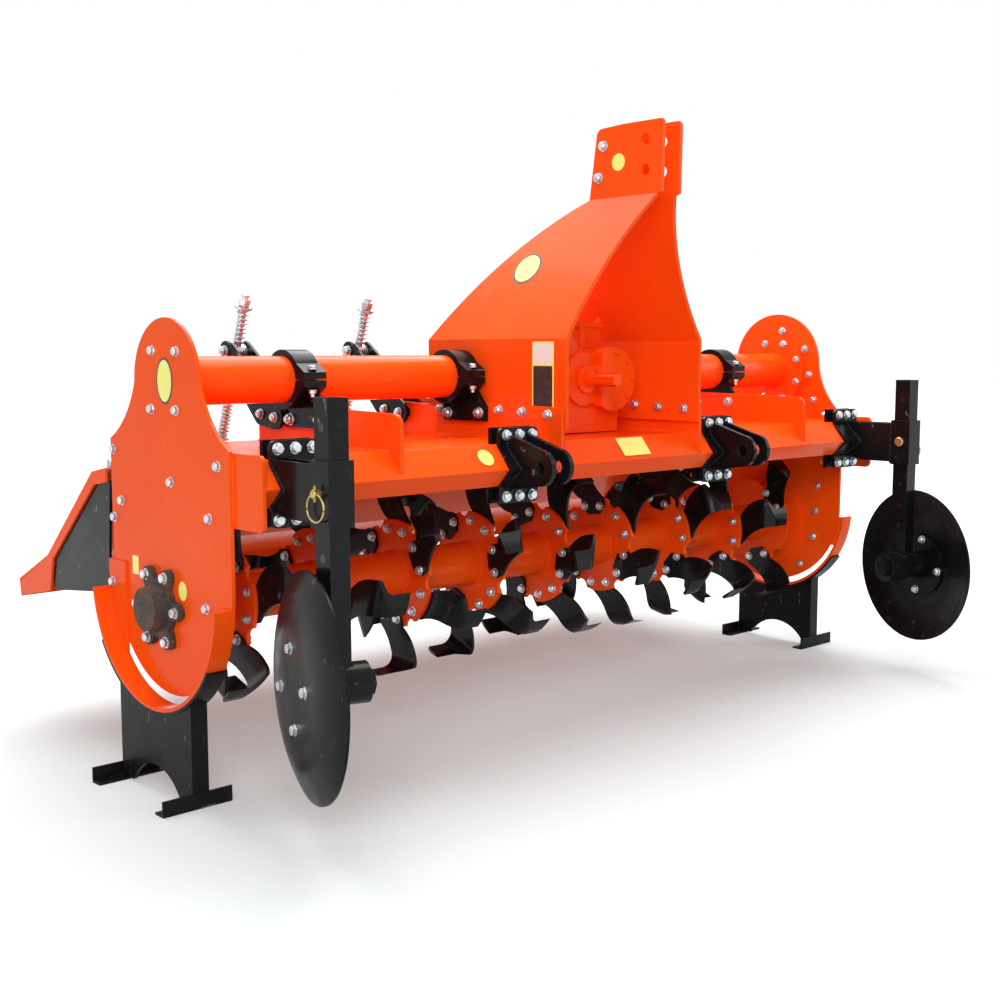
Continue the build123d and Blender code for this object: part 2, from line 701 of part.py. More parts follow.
star_bolt_r = 78.0
with BuildPart() as bearing_cover:
    with BuildSketch(side(-half_width)):
        with Locations((0, rotor_z)):
            Circle(62)
            with PolarLocations(star_bolt_r, 6, start_angle=60):
                Circle(17)
            with PolarLocations(0.5 * star_bolt_r + 20, 6, start_angle=60):
                Rectangle(40, 38)
            Circle(stub_r + run_gap, mode=Mode.SUBTRACT)
    extrude(amount=-14)
    with BuildSketch(side(-half_width - 14)):
        with Locations((0, rotor_z)):
            Circle(50)
    extrude(amount=-28, taper=8)
    with BuildSketch(side(-half_width)):
        with Locations((0, rotor_z)):
            Circle(stub_r + run_gap)
    extrude(amount=-36, mode=Mode.SUBTRACT)
save(bearing_cover, "bearing_cover")

case_top_r, case_low_r, case_t = 112.0, 108.0, 78.0
with BuildPart() as drive_case:
    with BuildSketch(side(half_width)) as case_outline:
        with Locations((tube_y, tube_z)):
            Circle(case_top_r)
        with Locations((0, rotor_z)):
            Circle(case_low_r)
        make_hull()
    extrude(amount=14)
    with BuildSketch(side(half_width + 14)):
        with Locations((tube_y, tube_z)):
            Circle(case_top_r - 16)
        with Locations((0, rotor_z)):
            Circle(case_low_r - 16)
        make_hull()
    extrude(amount=case_t - 14)
    with BuildSketch(side(half_width)):
        with Locations((0, rotor_z)):
            Circle(stub_r + run_gap)
    extrude(amount=36, mode=Mode.SUBTRACT)
save(drive_case, "drive_case")


# Skids: a curved strip outside each plate, with two bolted tabs on the plate's face
def on_skid(radius, height, front_side):
    return (skid_y + (-1 if front_side else 1) * (radius ** 2 - (height - skid_z) ** 2) ** 0.5, height)


def skid(hand, name):
    inner_r = skid_r - skid_t
    with BuildPart() as strip:
        with BuildSketch(side(hand * half_width)):
            with BuildLine():
                ThreePointArc(on_skid(skid_r, skid_front_z, True), (skid_y, skid_z - skid_r),
                              on_skid(skid_r, skid_rear_z, False))
                Line(on_skid(skid_r, skid_rear_z, False), on_skid(inner_r, skid_rear_z, False))
                ThreePointArc(on_skid(inner_r, skid_rear_z, False), (skid_y, skid_z - inner_r),
                              on_skid(inner_r, skid_front_z, True))
                Line(on_skid(inner_r, skid_front_z, True), on_skid(skid_r, skid_front_z, True))
            make_face()
        extrude(amount=hand * skid_w)
        for near_y, far_y, low_z, high_z in ((skid_tab_y, skid_y + skid_r, skid_tab_low, skid_tab_high),
                                             (skid_y - skid_r, shoulder_front[0] + 34, 330, skid_front_z)):
            with BuildSketch(side(hand * half_width)):
                with Locations((0.5 * (near_y + far_y), 0.5 * (low_z + high_z))):
                    Rectangle(far_y - near_y, high_z - low_z)
                with Locations((skid_y, skid_z)):
                    Circle(skid_r - 0.5 * skid_t, mode=Mode.INTERSECT)
            extrude(amount=hand * sheet_t)
    save(strip, name)


skid(-1, "skid_left")
skid(1, "skid_right")


# Parking stands: a curved saddle under each skid, a web with an arched foot, and two angle feet
def stand(hand, name):
    saddle_r = skid_r + 0.3
    outer_r = saddle_r + sheet_t
    spread = radians(stand_spread)
    with BuildPart() as frame:
        with BuildSketch(side(hand * half_width)):
            with BuildLine():
                ends = [(skid_y - r * sin(spread), skid_z - r * cos(spread)) for r in (saddle_r, outer_r)]
                backs = [(2 * skid_y - y, z) for y, z in ends]
                ThreePointArc(ends[0], (skid_y, skid_z - saddle_r), backs[0])
                Line(backs[0], backs[1])
                ThreePointArc(backs[1], (skid_y, skid_z - outer_r), ends[1])
                Line(ends[1], ends[0])
            make_face()
        extrude(amount=hand * skid_w)
        with BuildSketch(side(hand * stand_x)):
            with Locations((0.5 * (stand_front_y + stand_rear_y), 0.5 * (foot_t + stand_top_z))):
                Rectangle(stand_rear_y - stand_front_y, stand_top_z - foot_t)
            with Locations((skid_y, skid_z)):
                Circle(saddle_r + 2, mode=Mode.SUBTRACT)
            with Locations((0.5 * (stand_front_y + stand_rear_y), foot_t - 63)):
                Circle(118, mode=Mode.SUBTRACT)
        extrude(amount=0.5 * stand_t, both=True)
        with BuildSketch(side(hand * stand_x)):
            with Locations((stand_front_y + 0.5 * foot_t, 0.5 * (foot_t + 300))):
                Rectangle(foot_t, 300 - foot_t)
            with Locations((skid_y, skid_z)):
                Circle(saddle_r + 2, mode=Mode.SUBTRACT)
        extrude(amount=-hand * 34)
        for foot_y, inward in ((stand_front_y - foot_t, 1), (stand_rear_y + foot_t, -1)):
            with BuildSketch(side(hand * foot_x)):
                with BuildLine():
                    Polyline((foot_y, 0), (foot_y + inward * foot_h, 0), (foot_y + inward * foot_h, foot_t),
                             (foot_y + inward * foot_t, foot_t), (foot_y + inward * foot_t, foot_h),
                             (foot_y, foot_h), close=True)
                make_face()
            extrude(amount=0.5 * foot_len, both=True)
    save(frame, name)


stand(-1, "stand_left")
stand(1, "stand_right")

# Trailing board: a folded sheet behind the rotor with a downturned lip, end flanges and hinge knuckles
board_x = inner_x - side_gap
board_line = [(hinge_y + knuckle_r + 4, hinge_z - 12), (336, 645), (586, 425), (lip_y - 3, 347),
              (lip_y - 11, 305)]
board_xs = [(i - 1.5) * knuckle_pitch for i in range(4)]
with BuildPart() as trailing_board:
    with BuildSketch(side(0)):
        with BuildLine() as fold:
            Polyline(*board_line)
        trace(lines=fold.line, line_width=sheet_t)
    extrude(amount=board_x, both=True)
    with BuildSketch(*[side(x - 0.5 * knuckle_len) for x in board_xs]):
        with Locations((hinge_y, hinge_z)):
            Circle(knuckle_r)
        with BuildLine():
            Polyline((hinge_y, hinge_z - knuckle_r), (hinge_y + 24, hinge_z - 15),
                     (hinge_y + 30, hinge_z - 9), (hinge_y + 8, hinge_z + 8), close=True)
        make_face()
        with Locations((hinge_y, hinge_z)):
            Circle(hinge_pin_r + run_gap, mode=Mode.SUBTRACT)
    extrude(amount=knuckle_len)
    for hand in (-1, 1):
        with BuildSketch(side(hand * (board_x - 0.5 * sheet_t))):
            with BuildLine():
                Polyline((270, 655), (336, 642), (586, 422), (lip_y - 8, 344), (lip_y - 16, 308), (580, 340),
                         (560, 420), (330, 618), (270, 628), close=True)
            make_face()
        extrude(amount=0.5 * sheet_t, both=True)
save(trailing_board, "trailing_board")

with BuildPart() as board_shields:
    for hand in (-1, 1):
        with BuildSketch(side(hand * (board_x - sheet_t - 3))):
            with BuildLine():
                Polyline((262, 632), (336, 630), (582, 412), (566, 344), (282, 376), close=True)
            make_face()
        extrude(amount=3, both=True)
save(board_shields, "board_shields")

with BuildPart() as board_lugs:
    for rod_x in rod_xs:
        for edge in (-1, 1):
            with BuildSketch(side(rod_x + edge * 17)):
                with BuildLine():
                    Polyline((eye_y - 30, 655.5), (eye_y + 3, 649.6), (eye_y + 26, 629),
                             (eye_y + 16, eye_z + 6), (eye_y - 15, eye_z + 8), close=True)
                make_face()
                with Locations((eye_y, eye_z)):
                    Circle(17)
            extrude(amount=4, both=True)
        with BuildSketch(side(rod_x)):
            with Locations((eye_y, eye_z)):
                Circle(6)
        extrude(amount=14, both=True)
save(board_lugs, "board_lugs")

# Spring rods: brackets on the ribs, swivelling trunnions and the rods that slide through them
rod_len = hypot(eye_y - trunnion_y, eye_z - trunnion_z)
rod_dir = Vector(0, (eye_y - trunnion_y) / rod_len, (eye_z - trunnion_z) / rod_len)


def rod_plane(rod_x, along):
    origin = Vector(rod_x, rotor_y + trunnion_y, trunnion_z) + rod_dir * along
    return Plane(origin=origin, x_dir=(1, 0, 0), z_dir=rod_dir)


bracket_root = (42.0, 772.0)
with BuildPart() as rod_brackets:
    for rod_x in rod_xs:
        for edge in (-1, 1):
            with BuildSketch(side(rod_x + edge * 0.5 * (bracket_gap + bracket_t))):
                with Locations(bracket_root, (bracket_root[0] + 60, bracket_root[1] + 8)):
                    Circle(28)
                with Locations((trunnion_y, trunnion_z)):
                    Circle(24)
                make_hull()
                with Locations((trunnion_y, trunnion_z)):
                    Circle(8 + run_gap, mode=Mode.SUBTRACT)
            extrude(amount=0.5 * bracket_t, both=True)
            with BuildSketch(side(rod_x + edge * 0.5 * rib_t)):
                with Locations(bracket_root, (bracket_root[0] + 56, bracket_root[1] + 6)):
                    Circle(13)
            extrude(amount=edge * 0.5 * (bracket_gap - rib_t))
save(rod_brackets, "rod_brackets")

for i, rod_x in enumerate(rod_xs):
    with BuildPart() as trunnion:
        with BuildSketch(side(rod_x)):
            with Locations((trunnion_y, trunnion_z)):
                Circle(trunnion_r)
        extrude(amount=0.5 * bracket_gap - 1, both=True)
        with BuildSketch(side(rod_x)):
            with Locations((trunnion_y, trunnion_z)):
                Circle(8)
        extrude(amount=0.5 * bracket_gap + bracket_t + 6, both=True)
        with BuildSketch(rod_plane(rod_x, 0)):
            Circle(rod_r + run_gap)
        extrude(amount=2 * trunnion_r, both=True, mode=Mode.SUBTRACT)
    save(trunnion, f"trunnion_{i + 1}")
    with BuildPart() as rod:
        with BuildSketch(rod_plane(rod_x, -rod_top)):
            Circle(rod_r)
        extrude(amount=rod_top + rod_len - 12)
        with BuildSketch(rod_plane(rod_x, -rod_top + 10)):
            RegularPolygon(15, 6)
        extrude(amount=16)
        with BuildSketch(rod_plane(rod_x, -rod_top + 28)):
            Circle(21)
        extrude(amount=6)
        with BuildSketch(rod_plane(rod_x, rod_len - 46)):
            Circle(18)
        extrude(amount=6)
        with BuildSketch(side(rod_x)):
            with Locations((eye_y, eye_z)):
                Circle(18)
                Circle(10, mode=Mode.SUBTRACT)
        extrude(amount=10.5, both=True)
    save(rod, f"spring_rod_{i + 1}")
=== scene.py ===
import json
import math

import bmesh
import bpy
from mathutils import Matrix, Vector


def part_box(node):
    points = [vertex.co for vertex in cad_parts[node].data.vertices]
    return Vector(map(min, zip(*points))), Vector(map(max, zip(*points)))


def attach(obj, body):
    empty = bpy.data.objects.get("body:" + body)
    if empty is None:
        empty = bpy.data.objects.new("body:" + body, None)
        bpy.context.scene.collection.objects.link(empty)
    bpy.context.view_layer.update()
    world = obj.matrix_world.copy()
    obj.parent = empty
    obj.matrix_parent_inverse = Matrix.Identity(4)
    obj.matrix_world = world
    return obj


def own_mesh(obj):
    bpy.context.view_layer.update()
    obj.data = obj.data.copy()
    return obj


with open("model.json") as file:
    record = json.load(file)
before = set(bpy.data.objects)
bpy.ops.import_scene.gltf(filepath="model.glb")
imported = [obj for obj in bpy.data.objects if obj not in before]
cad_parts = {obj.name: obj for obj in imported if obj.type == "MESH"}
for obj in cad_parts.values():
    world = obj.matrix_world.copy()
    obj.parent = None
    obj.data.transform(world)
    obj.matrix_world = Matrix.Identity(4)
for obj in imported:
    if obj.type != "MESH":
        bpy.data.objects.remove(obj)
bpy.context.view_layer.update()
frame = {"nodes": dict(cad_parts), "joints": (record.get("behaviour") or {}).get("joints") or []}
print("frame loaded:", len(frame["nodes"]), "nodes")

coverLow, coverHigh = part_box("bearing_cover")
rotorY = (coverLow.y + coverHigh.y) / 2     # the rotor's axis runs through the middle of its cover
rotorZ = 385                                # and this far over the ground, in mm
scene = bpy.context.scene


# Places are in mm: x from the middle, y from the rotor's axis towards the rear, z from the ground
def at(x, y, z):
    return Vector((x / 1000, y / 1000 + rotorY, z / 1000))


# A socket of a shader tree that can be added, multiplied and taken away from a number
class Value:
    def __init__(self, finish, socket):
        self.finish, self.socket = finish, socket

    def math(self, operation, first, second):
        return self.finish.add("ShaderNodeMath", {"operation": operation}, [first, second])

    def __add__(self, other):
        return self.math("ADD", self, other)

    def __rsub__(self, other):
        return self.math("SUBTRACT", other, self)

    def __mul__(self, other):
        return self.math("MULTIPLY", self, other)

    __radd__ = __add__
    __rmul__ = __mul__


# A material and its nodes
class Finish:
    def __init__(self, name):
        self.material = bpy.data.materials.new(name)
        self.material.use_nodes = True
        self.tree = self.material.node_tree
        self.tree.nodes.clear()

    def add(self, kind, settings=None, sockets=None, out=0):
        node = self.tree.nodes.new(kind)
        for key, value in (settings or {}).items():
            if key == "stops":
                for element, (position, level) in zip(node.color_ramp.elements, value):
                    element.position = position
                    element.color = (level, level, level, 1)
            else:
                setattr(node, key, value)
        pairs = enumerate(sockets) if isinstance(sockets, list) else (sockets or {}).items()
        for key, value in pairs:
            if isinstance(value, Value):
                self.tree.links.new(value.socket, node.inputs[key])
            else:
                node.inputs[key].default_value = value
        if not node.outputs:
            return None
        return Value(self, node.outputs[out])

    def place(self):
        return self.add("ShaderNodeTexCoord", out="Object")

    def noise(self, scale, detail=3, roughness=0.55, stretch=None):
        where = self.place()
        if stretch:
            where = self.add("ShaderNodeVectorMath", {"operation": "MULTIPLY"}, [where, stretch])
        return self.add("ShaderNodeTexNoise", {}, {"Vector": where, "Scale": scale, "Detail": detail,
                                                   "Roughness": roughness})

    def ramp(self, value, *stops):
        return self.add("ShaderNodeValToRGB", {"stops": stops}, {"Fac": value})

    def mix(self, share, first, second):
        return self.add("ShaderNodeMix", {"data_type": "RGBA"}, {0: share, 6: first, 7: second}, out=2)

    # the normal with rounded edges, and how strongly each point is an edge
    def edges(self, radius):
        rounded = self.add("ShaderNodeBevel", {"samples": 4}, {"Radius": radius})
        flat = self.add("ShaderNodeNewGeometry", out="Normal")
        facing = self.add("ShaderNodeVectorMath", {"operation": "DOT_PRODUCT"}, [rounded, flat], out="Value")
        return rounded, 1 - facing

    def bump(self, height, strength, distance, normal=None):
        sockets = {"Height": height, "Strength": strength, "Distance": distance}
        if normal:
            sockets["Normal"] = normal
        return self.add("ShaderNodeBump", {}, sockets)

    def shade(self, **values):
        named = {key.replace("_", " "): value for key, value in values.items()}
        surface = self.add("ShaderNodeBsdfPrincipled", {}, named)
        self.add("ShaderNodeOutputMaterial", {}, {"Surface": surface})
        return self.material


def colour(red, green, blue):
    def linear(part):
        part /= 255
        return part / 12.92 if part <= 0.04045 else ((part + 0.055) / 1.055) ** 2.4
    return (linear(red), linear(green), linear(blue), 1)


# Orange paint: two close shades in patches, worn to the primer at the edges, under a thin film of dust
paint = {"bright": (255, 90, 18), "deep": (250, 80, 12), "primer": (168, 66, 40), "dust": (226, 140, 104),
         "edgeRadius": 0.0020, "wear": 0.5, "dustiness": 0.05, "peel": 0.10, "peelDepth": 0.0004,
         "castDepth": 0.0014, "coatRoughness": 0.06, "specular": 0.06}


def paintedOrange(name, coat, roughness, casting=0.0):
    f = Finish(name)
    patches = f.noise(1.7, 4)
    tone = f.mix(f.ramp(patches, (0.35, 0), (0.65, 1)), colour(*paint["deep"]), colour(*paint["bright"]))
    rounded, edge = f.edges(paint["edgeRadius"])
    chips = f.ramp(f.noise(150, 4, 0.7), (0.60, 0), (0.66, 1))
    worn = f.ramp(edge, (0.04, 0), (0.2, 1)) * chips * paint["wear"]
    tone = f.mix(worn, tone, colour(*paint["primer"]))
    film = f.ramp(f.noise(7, 6, 0.65), (0.58, 0), (0.8, 1)) * paint["dustiness"]
    tone = f.mix(film, tone, colour(*paint["dust"]))
    gloss = f.ramp(f.noise(14, 5), (0.3, roughness - 0.05), (0.75, roughness + 0.08)) + worn * 0.25
    skin = f.bump(f.noise(300, 2), paint["peel"], paint["peelDepth"], rounded)
    if casting:
        skin = f.bump(f.noise(130, 5, 0.7), casting, paint["castDepth"], skin)
    return f.shade(Base_Color=tone, Roughness=gloss, Normal=skin, Coat_Weight=coat,
                   Coat_Roughness=paint["coatRoughness"], Specular_IOR_Level=paint["specular"])


# Black paint: soiled, rubbed at the edges and scratched along the machine
black = {"base": (13, 13, 15), "grey": (30, 30, 32), "soil": (78, 70, 64), "rubbed": (120, 118, 116),
         "scratch": (140, 136, 132), "scratchStretch": (0.10, 1, 0.55), "patches": 0.5, "wear": 0.5,
         "edgeRadius": 0.0018, "peel": 0.10, "peelDepth": 0.0005, "coatRoughness": 0.08, "specular": 0.09}


def paintedBlack(name, soil, roughness, scratches, coat):
    f = Finish(name)
    rounded, edge = f.edges(black["edgeRadius"])
    patches = f.ramp(f.noise(5, 5), (0.35, 0), (0.75, 1)) * black["patches"]
    tone = f.mix(patches, colour(*black["base"]), colour(*black["grey"]))
    marks = f.ramp(f.noise(26, 6, 0.75), (0.58, 0), (0.76, 1)) * soil
    tone = f.mix(marks, tone, colour(*black["soil"]))
    chips = f.ramp(f.noise(110, 3), (0.54, 0), (0.62, 1))
    worn = f.ramp(edge, (0.03, 0), (0.2, 1)) * chips * black["wear"]
    tone = f.mix(worn, tone, colour(*black["rubbed"]))
    streaks = f.ramp(f.noise(60, 3, 0.5, black["scratchStretch"]), (0.68, 0), (0.72, 1)) * scratches
    tone = f.mix(streaks, tone, colour(*black["scratch"]))
    gloss = f.ramp(f.noise(16, 5), (0.3, roughness - 0.05), (0.8, roughness + 0.14)) + marks * 0.4
    skin = f.bump(f.noise(320, 2), black["peel"], black["peelDepth"], rounded)
    return f.shade(Base_Color=tone, Roughness=gloss, Normal=skin, Coat_Weight=coat,
                   Coat_Roughness=black["coatRoughness"], Specular_IOR_Level=black["specular"])


# Plated or bare steel with a little grime
plated = {"grime": (96, 88, 80), "griminess": 0.22, "metallic": 0.84, "edgeRadius": 0.0008}


def platedSteel(name, bright, dull, roughness):
    f = Finish(name)
    rounded = f.edges(plated["edgeRadius"])[0]
    tone = f.mix(f.ramp(f.noise(60, 4), (0.35, 0), (0.7, 1)), colour(*dull), colour(*bright))
    grime = f.ramp(f.noise(150, 5, 0.7), (0.58, 0), (0.72, 1)) * plated["griminess"]
    tone = f.mix(grime, tone, colour(*plated["grime"]))
    gloss = f.ramp(f.noise(90, 4), (0.3, roughness - 0.1), (0.8, roughness + 0.12)) + grime * 0.3
    return f.shade(Base_Color=tone, Metallic=plated["metallic"] - grime, Roughness=gloss, Normal=rounded)


# A rough casting, dark in places and rusty in others
rust = {"dark": (60, 54, 52), "brown": (108, 72, 52), "light": (142, 96, 66), "lightness": 0.5,
        "roughness": 0.72, "metallic": 0.25, "pits": 0.5, "pitDepth": 0.0012, "edgeRadius": 0.003}


def castRust(name):
    f = Finish(name)
    rounded = f.edges(rust["edgeRadius"])[0]
    blotch = f.ramp(f.noise(26, 6, 0.7), (0.46, 0), (0.66, 1))
    tone = f.mix(blotch, colour(*rust["dark"]), colour(*rust["brown"]))
    fine = f.ramp(f.noise(160, 5, 0.7), (0.52, 0), (0.7, 1)) * rust["lightness"]
    tone = f.mix(fine, tone, colour(*rust["light"]))
    skin = f.bump(f.noise(240, 6, 0.7), rust["pits"], rust["pitDepth"], rounded)
    return f.shade(Base_Color=tone, Roughness=rust["roughness"] + blotch * 0.15,
                   Metallic=rust["metallic"] - blotch * 0.2, Normal=skin)


# Blank films, a little stained
sticker = {"stain": (170, 160, 140), "stains": 0.12, "peel": 0.1, "peelDepth": 0.0004}


def plainSticker(name, shade, stains=sticker["stains"]):
    f = Finish(name)
    share = f.ramp(f.noise(70, 4), (0.5, 0), (0.8, 1)) * stains
    return f.shade(Base_Color=f.mix(share, colour(*shade), colour(*sticker["stain"])),
                   Roughness=f.ramp(f.noise(40, 3), (0.3, 0.28), (0.7, 0.42)),
                   Normal=f.bump(f.noise(300, 2), sticker["peel"], sticker["peelDepth"]))


finishes = {
    "sheetPaint": paintedOrange("orange_sheet", coat=0.06, roughness=0.22),
    "castPaint": paintedOrange("orange_casting", coat=0.14, roughness=0.34, casting=0.35),
    "plateBlack": paintedBlack("black_plate", soil=0.25, roughness=0.24, scratches=0.5, coat=0.10),
    "toolBlack": paintedBlack("black_tool", soil=0.35, roughness=0.26, scratches=0.25, coat=0.14),
    "discBlack": paintedBlack("black_disc", soil=0.4, roughness=0.3, scratches=0.2, coat=0.05),
    "standBlack": paintedBlack("black_stand", soil=0.5, roughness=0.36, scratches=0.3, coat=0.05),
    "zinc": platedSteel("zinc_plate", (222, 226, 230), (182, 187, 193), roughness=0.32),
    "gold": platedSteel("gold_zinc", (206, 178, 112), (170, 142, 84), roughness=0.36),
    "steel": platedSteel("bright_steel", (186, 184, 182), (140, 138, 136), roughness=0.4),
    "rust": castRust("rusty_casting"),
    "yellow": plainSticker("yellow_film", (255, 246, 130)),
    "darkFilm": plainSticker("dark_film", (34, 34, 36)),
    # painted shade that stands for the inside of a hole
    "holeShade": plainSticker("hole_shade", (5, 5, 6), stains=0.01),
    "silverFilm": plainSticker("silver_film", (236, 236, 230)),
}
print("finishes made:", len(finishes))

nodeFinishes = {
    "plateBlack": ("clamp_caps clamp_saddles hitch_bracket_left hitch_bracket_right disc_bracket_left "
                   "disc_bracket_right bracket_strips board_shields board_lugs rod_brackets disc_leg_left "
                   "disc_leg_right").split(),
    "toolBlack": ("blades_left_hand", "blades_right_hand"),
    "discBlack": ("disc_left", "disc_right", "disc_axle_left", "disc_axle_right"),
    "standBlack": ("stand_left", "stand_right"),
    "castPaint": ("gearbox_housing", "gearbox_cover", "pto_shaft", "drive_case"),
    "zinc": [name for name in frame["nodes"] if name.startswith(("trunnion", "spring_rod"))],
    "rust": ("bearing_cover",),
    "steel": ("hinge_rod",),
}
for name, node in frame["nodes"].items():
    chosen = [finish for finish, names in nodeFinishes.items() if name in names]
    node.data.materials.clear()
    node.data.materials.append(finishes[chosen[0] if chosen else "sheetPaint"])
print("nodes painted")


# Every added piece rides on a body of the frame
def pieceFrom(name, mesh, body, finish):
    piece = bpy.data.objects.new(name, mesh)
    scene.collection.objects.link(piece)
    mesh.materials.clear()
    mesh.materials.append(finishes[finish])
    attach(piece, body)
    return piece


def builtPiece(builder, name, body, finish):
    bmesh.ops.recalc_face_normals(builder, faces=builder.faces)
    mesh = bpy.data.meshes.new(name)
    builder.to_mesh(mesh)
    builder.free()
    return pieceFrom(name, mesh, body, finish)


# A Geometry Nodes tree whose inputs are set for each run
class Nodes:
    def __init__(self, name, inputs):
        self.tree = bpy.data.node_groups.new(name, "GeometryNodeTree")
        self.tree.interface.new_socket("Geometry", in_out="INPUT", socket_type="NodeSocketGeometry")
        self.tree.interface.new_socket("Geometry", in_out="OUTPUT", socket_type="NodeSocketGeometry")
        self.keys = {}
        for label, (kind, default) in inputs.items():
            socket = self.tree.interface.new_socket(label, in_out="INPUT", socket_type=kind)
            if default is not None:
                socket.default_value = default
            self.keys[label] = socket.identifier
        self.source = self.tree.nodes.new("NodeGroupInput")
        self.sink = self.tree.nodes.new("NodeGroupOutput")

    def input(self, label):
        return self.source.outputs[label]

    def add(self, kind, settings=None, sockets=None, out=0):
        node = self.tree.nodes.new(kind)
        for key, value in (settings or {}).items():
            setattr(node, key, value)
        pairs = enumerate(sockets) if isinstance(sockets, list) else (sockets or {}).items()
        for key, value in pairs:
            for single in value if isinstance(value, list) else [value]:
                if isinstance(single, bpy.types.NodeSocket):
                    self.tree.links.new(single, node.inputs[key])
                else:
                    node.inputs[key].default_value = single
        return node.outputs[out]

    def times(self, first, second):
        return self.add("ShaderNodeMath", {"operation": "MULTIPLY"}, [first, second])

    def plus(self, first, second):
        return self.add("ShaderNodeMath", {"operation": "ADD"}, [first, second])

    def close(self, geometry):
        real = self.add("GeometryNodeRealizeInstances", {}, {"Geometry": geometry})
        done = self.add("GeometryNodeSetMaterial", {}, {"Geometry": real, "Material": self.input("Material")})
        self.tree.links.new(done, self.sink.inputs[0])

    def run(self, mesh, values):
        carrier = bpy.data.objects.new("carrier", mesh)
        scene.collection.objects.link(carrier)
        modifier = carrier.modifiers.new("build", "NODES")
        modifier.node_group = self.tree
        for label, value in values.items():
            modifier[self.keys[label]] = value
        graph = bpy.context.evaluated_depsgraph_get()
        made = bpy.data.meshes.new_from_object(carrier.evaluated_get(graph))
        bpy.data.objects.remove(carrier)
        return made


# One tree makes every bolt: washer, six-sided head with a chamfer, and the stub that stands out of it.
# Its sizes are shares of the head's radius, and every head has a random turn.
fastener = {"headHeight": 0.66, "headSides": 6, "washerSize": 1.16, "washerHeight": 0.17, "washerSides": 20,
            "crownTop": 0.78, "crownFoot": 0.93, "crownSides": 12, "chamfer": 0.16, "stubSize": 0.54,
            "stubSides": 14, "stubSink": 0.04, "mostTurn": 6.283}


def fastenerTree():
    n = Nodes("fasteners", {"Stub": ("NodeSocketFloat", 0.35), "Seed": ("NodeSocketInt", 3),
                            "Head Height": ("NodeSocketFloat", fastener["headHeight"]),
                            "Washer Size": ("NodeSocketFloat", fastener["washerSize"]),
                            "Material": ("NodeSocketMaterial", None)})

    def upright(height):
        return n.add("ShaderNodeCombineXYZ", {}, {"Z": height})

    def lifted(shape, height):
        return n.add("GeometryNodeTransform", {}, {"Geometry": shape, "Translation": upright(height)})

    def cylinder(sides, radius, depth):
        return n.add("GeometryNodeMeshCylinder", {}, {"Vertices": sides, "Radius": radius, "Depth": depth},
                     out="Mesh")

    thick = fastener["washerHeight"]
    headHeight = n.input("Head Height")
    top = n.plus(headHeight, thick)
    washer = cylinder(fastener["washerSides"], n.input("Washer Size"), thick)
    head = cylinder(fastener["headSides"], 1.0, headHeight)
    crown = n.add("GeometryNodeMeshCone", {}, {"Vertices": fastener["crownSides"],
                                               "Depth": fastener["chamfer"],
                                               "Radius Top": fastener["crownTop"],
                                               "Radius Bottom": fastener["crownFoot"]}, out="Mesh")
    stub = cylinder(fastener["stubSides"], fastener["stubSize"],
                    n.plus(n.times(n.input("Stub"), 2), fastener["stubSink"]))
    bolt = n.add("GeometryNodeJoinGeometry", {}, {"Geometry": [
        lifted(washer, thick / 2), lifted(head, n.plus(n.times(headHeight, 0.5), thick)), lifted(crown, top),
        lifted(stub, n.plus(top, fastener["chamfer"] / 2))]})
    facing = n.add("GeometryNodeInputNamedAttribute", {"data_type": "FLOAT_VECTOR"}, {"Name": "facing"})
    size = n.add("GeometryNodeInputNamedAttribute", {"data_type": "FLOAT"}, {"Name": "size"})
    aligned = n.add("FunctionNodeAlignRotationToVector", {"axis": "Z"}, {"Vector": facing})
    turn = n.add("FunctionNodeRandomValue", {"data_type": "FLOAT"},
                 {"Max": fastener["mostTurn"], "Seed": n.input("Seed")}, out=1)
    spun = n.add("FunctionNodeRotateRotation", {"rotation_space": "LOCAL"},
                 {"Rotation": aligned, "Rotate By": upright(turn)})
    many = n.add("GeometryNodeInstanceOnPoints", {}, {"Points": n.input("Geometry"), "Instance": bolt,
                                                      "Rotation": spun, "Scale": size})
    n.close(many)
    return n


fasteners = fastenerTree()


# Each place of a bolt is a point, the way its head faces and the head's radius in mm
def bolts(name, places, body, seed, finish="zinc", stub=0.0):
    points, facings, sizes = zip(*places)
    mesh = bpy.data.meshes.new("places")
    mesh.from_pydata(points, [], [])
    ways = [number for facing in facings for number in facing]
    mesh.attributes.new("facing", "FLOAT_VECTOR", "POINT").data.foreach_set("vector", ways)
    radii = [size / 1000 for size in sizes]
    mesh.attributes.new("size", "FLOAT", "POINT").data.foreach_set("value", radii)
    made = fasteners.run(mesh, {"Stub": stub, "Seed": seed, "Material": finishes[finish],
                                "Head Height": fastener["headHeight"],
                                "Washer Size": fastener["washerSize"]})
    return pieceFrom(name, made, body, finish)


left, right = (-1, 0, 0), (1, 0, 0)
ahead, behind = (0, -1, 0), (0, 1, 0)     # ahead is towards the tractor
up, down = (0, 0, 1), (0, 0, -1)


def outward(hand):
    return (hand, 0, 0)


def spokes(count, first=0):
    angles = [math.radians(first + 360 * k / count) for k in range(count)]
    return [(math.cos(angle), math.sin(angle)) for angle in angles]


def circle(y, z, radius, count, first=0):
    return [(y + radius * across, z + radius * upward) for across, upward in spokes(count, first)]


# The same bolts at the left and the right, facing away from the middle or, with facing=-1, towards it
def mirrored(x, places, size, facing=1):
    return [(at(hand * x, y, z), outward(facing * hand), size) for hand in (-1, 1) for y, z in places]


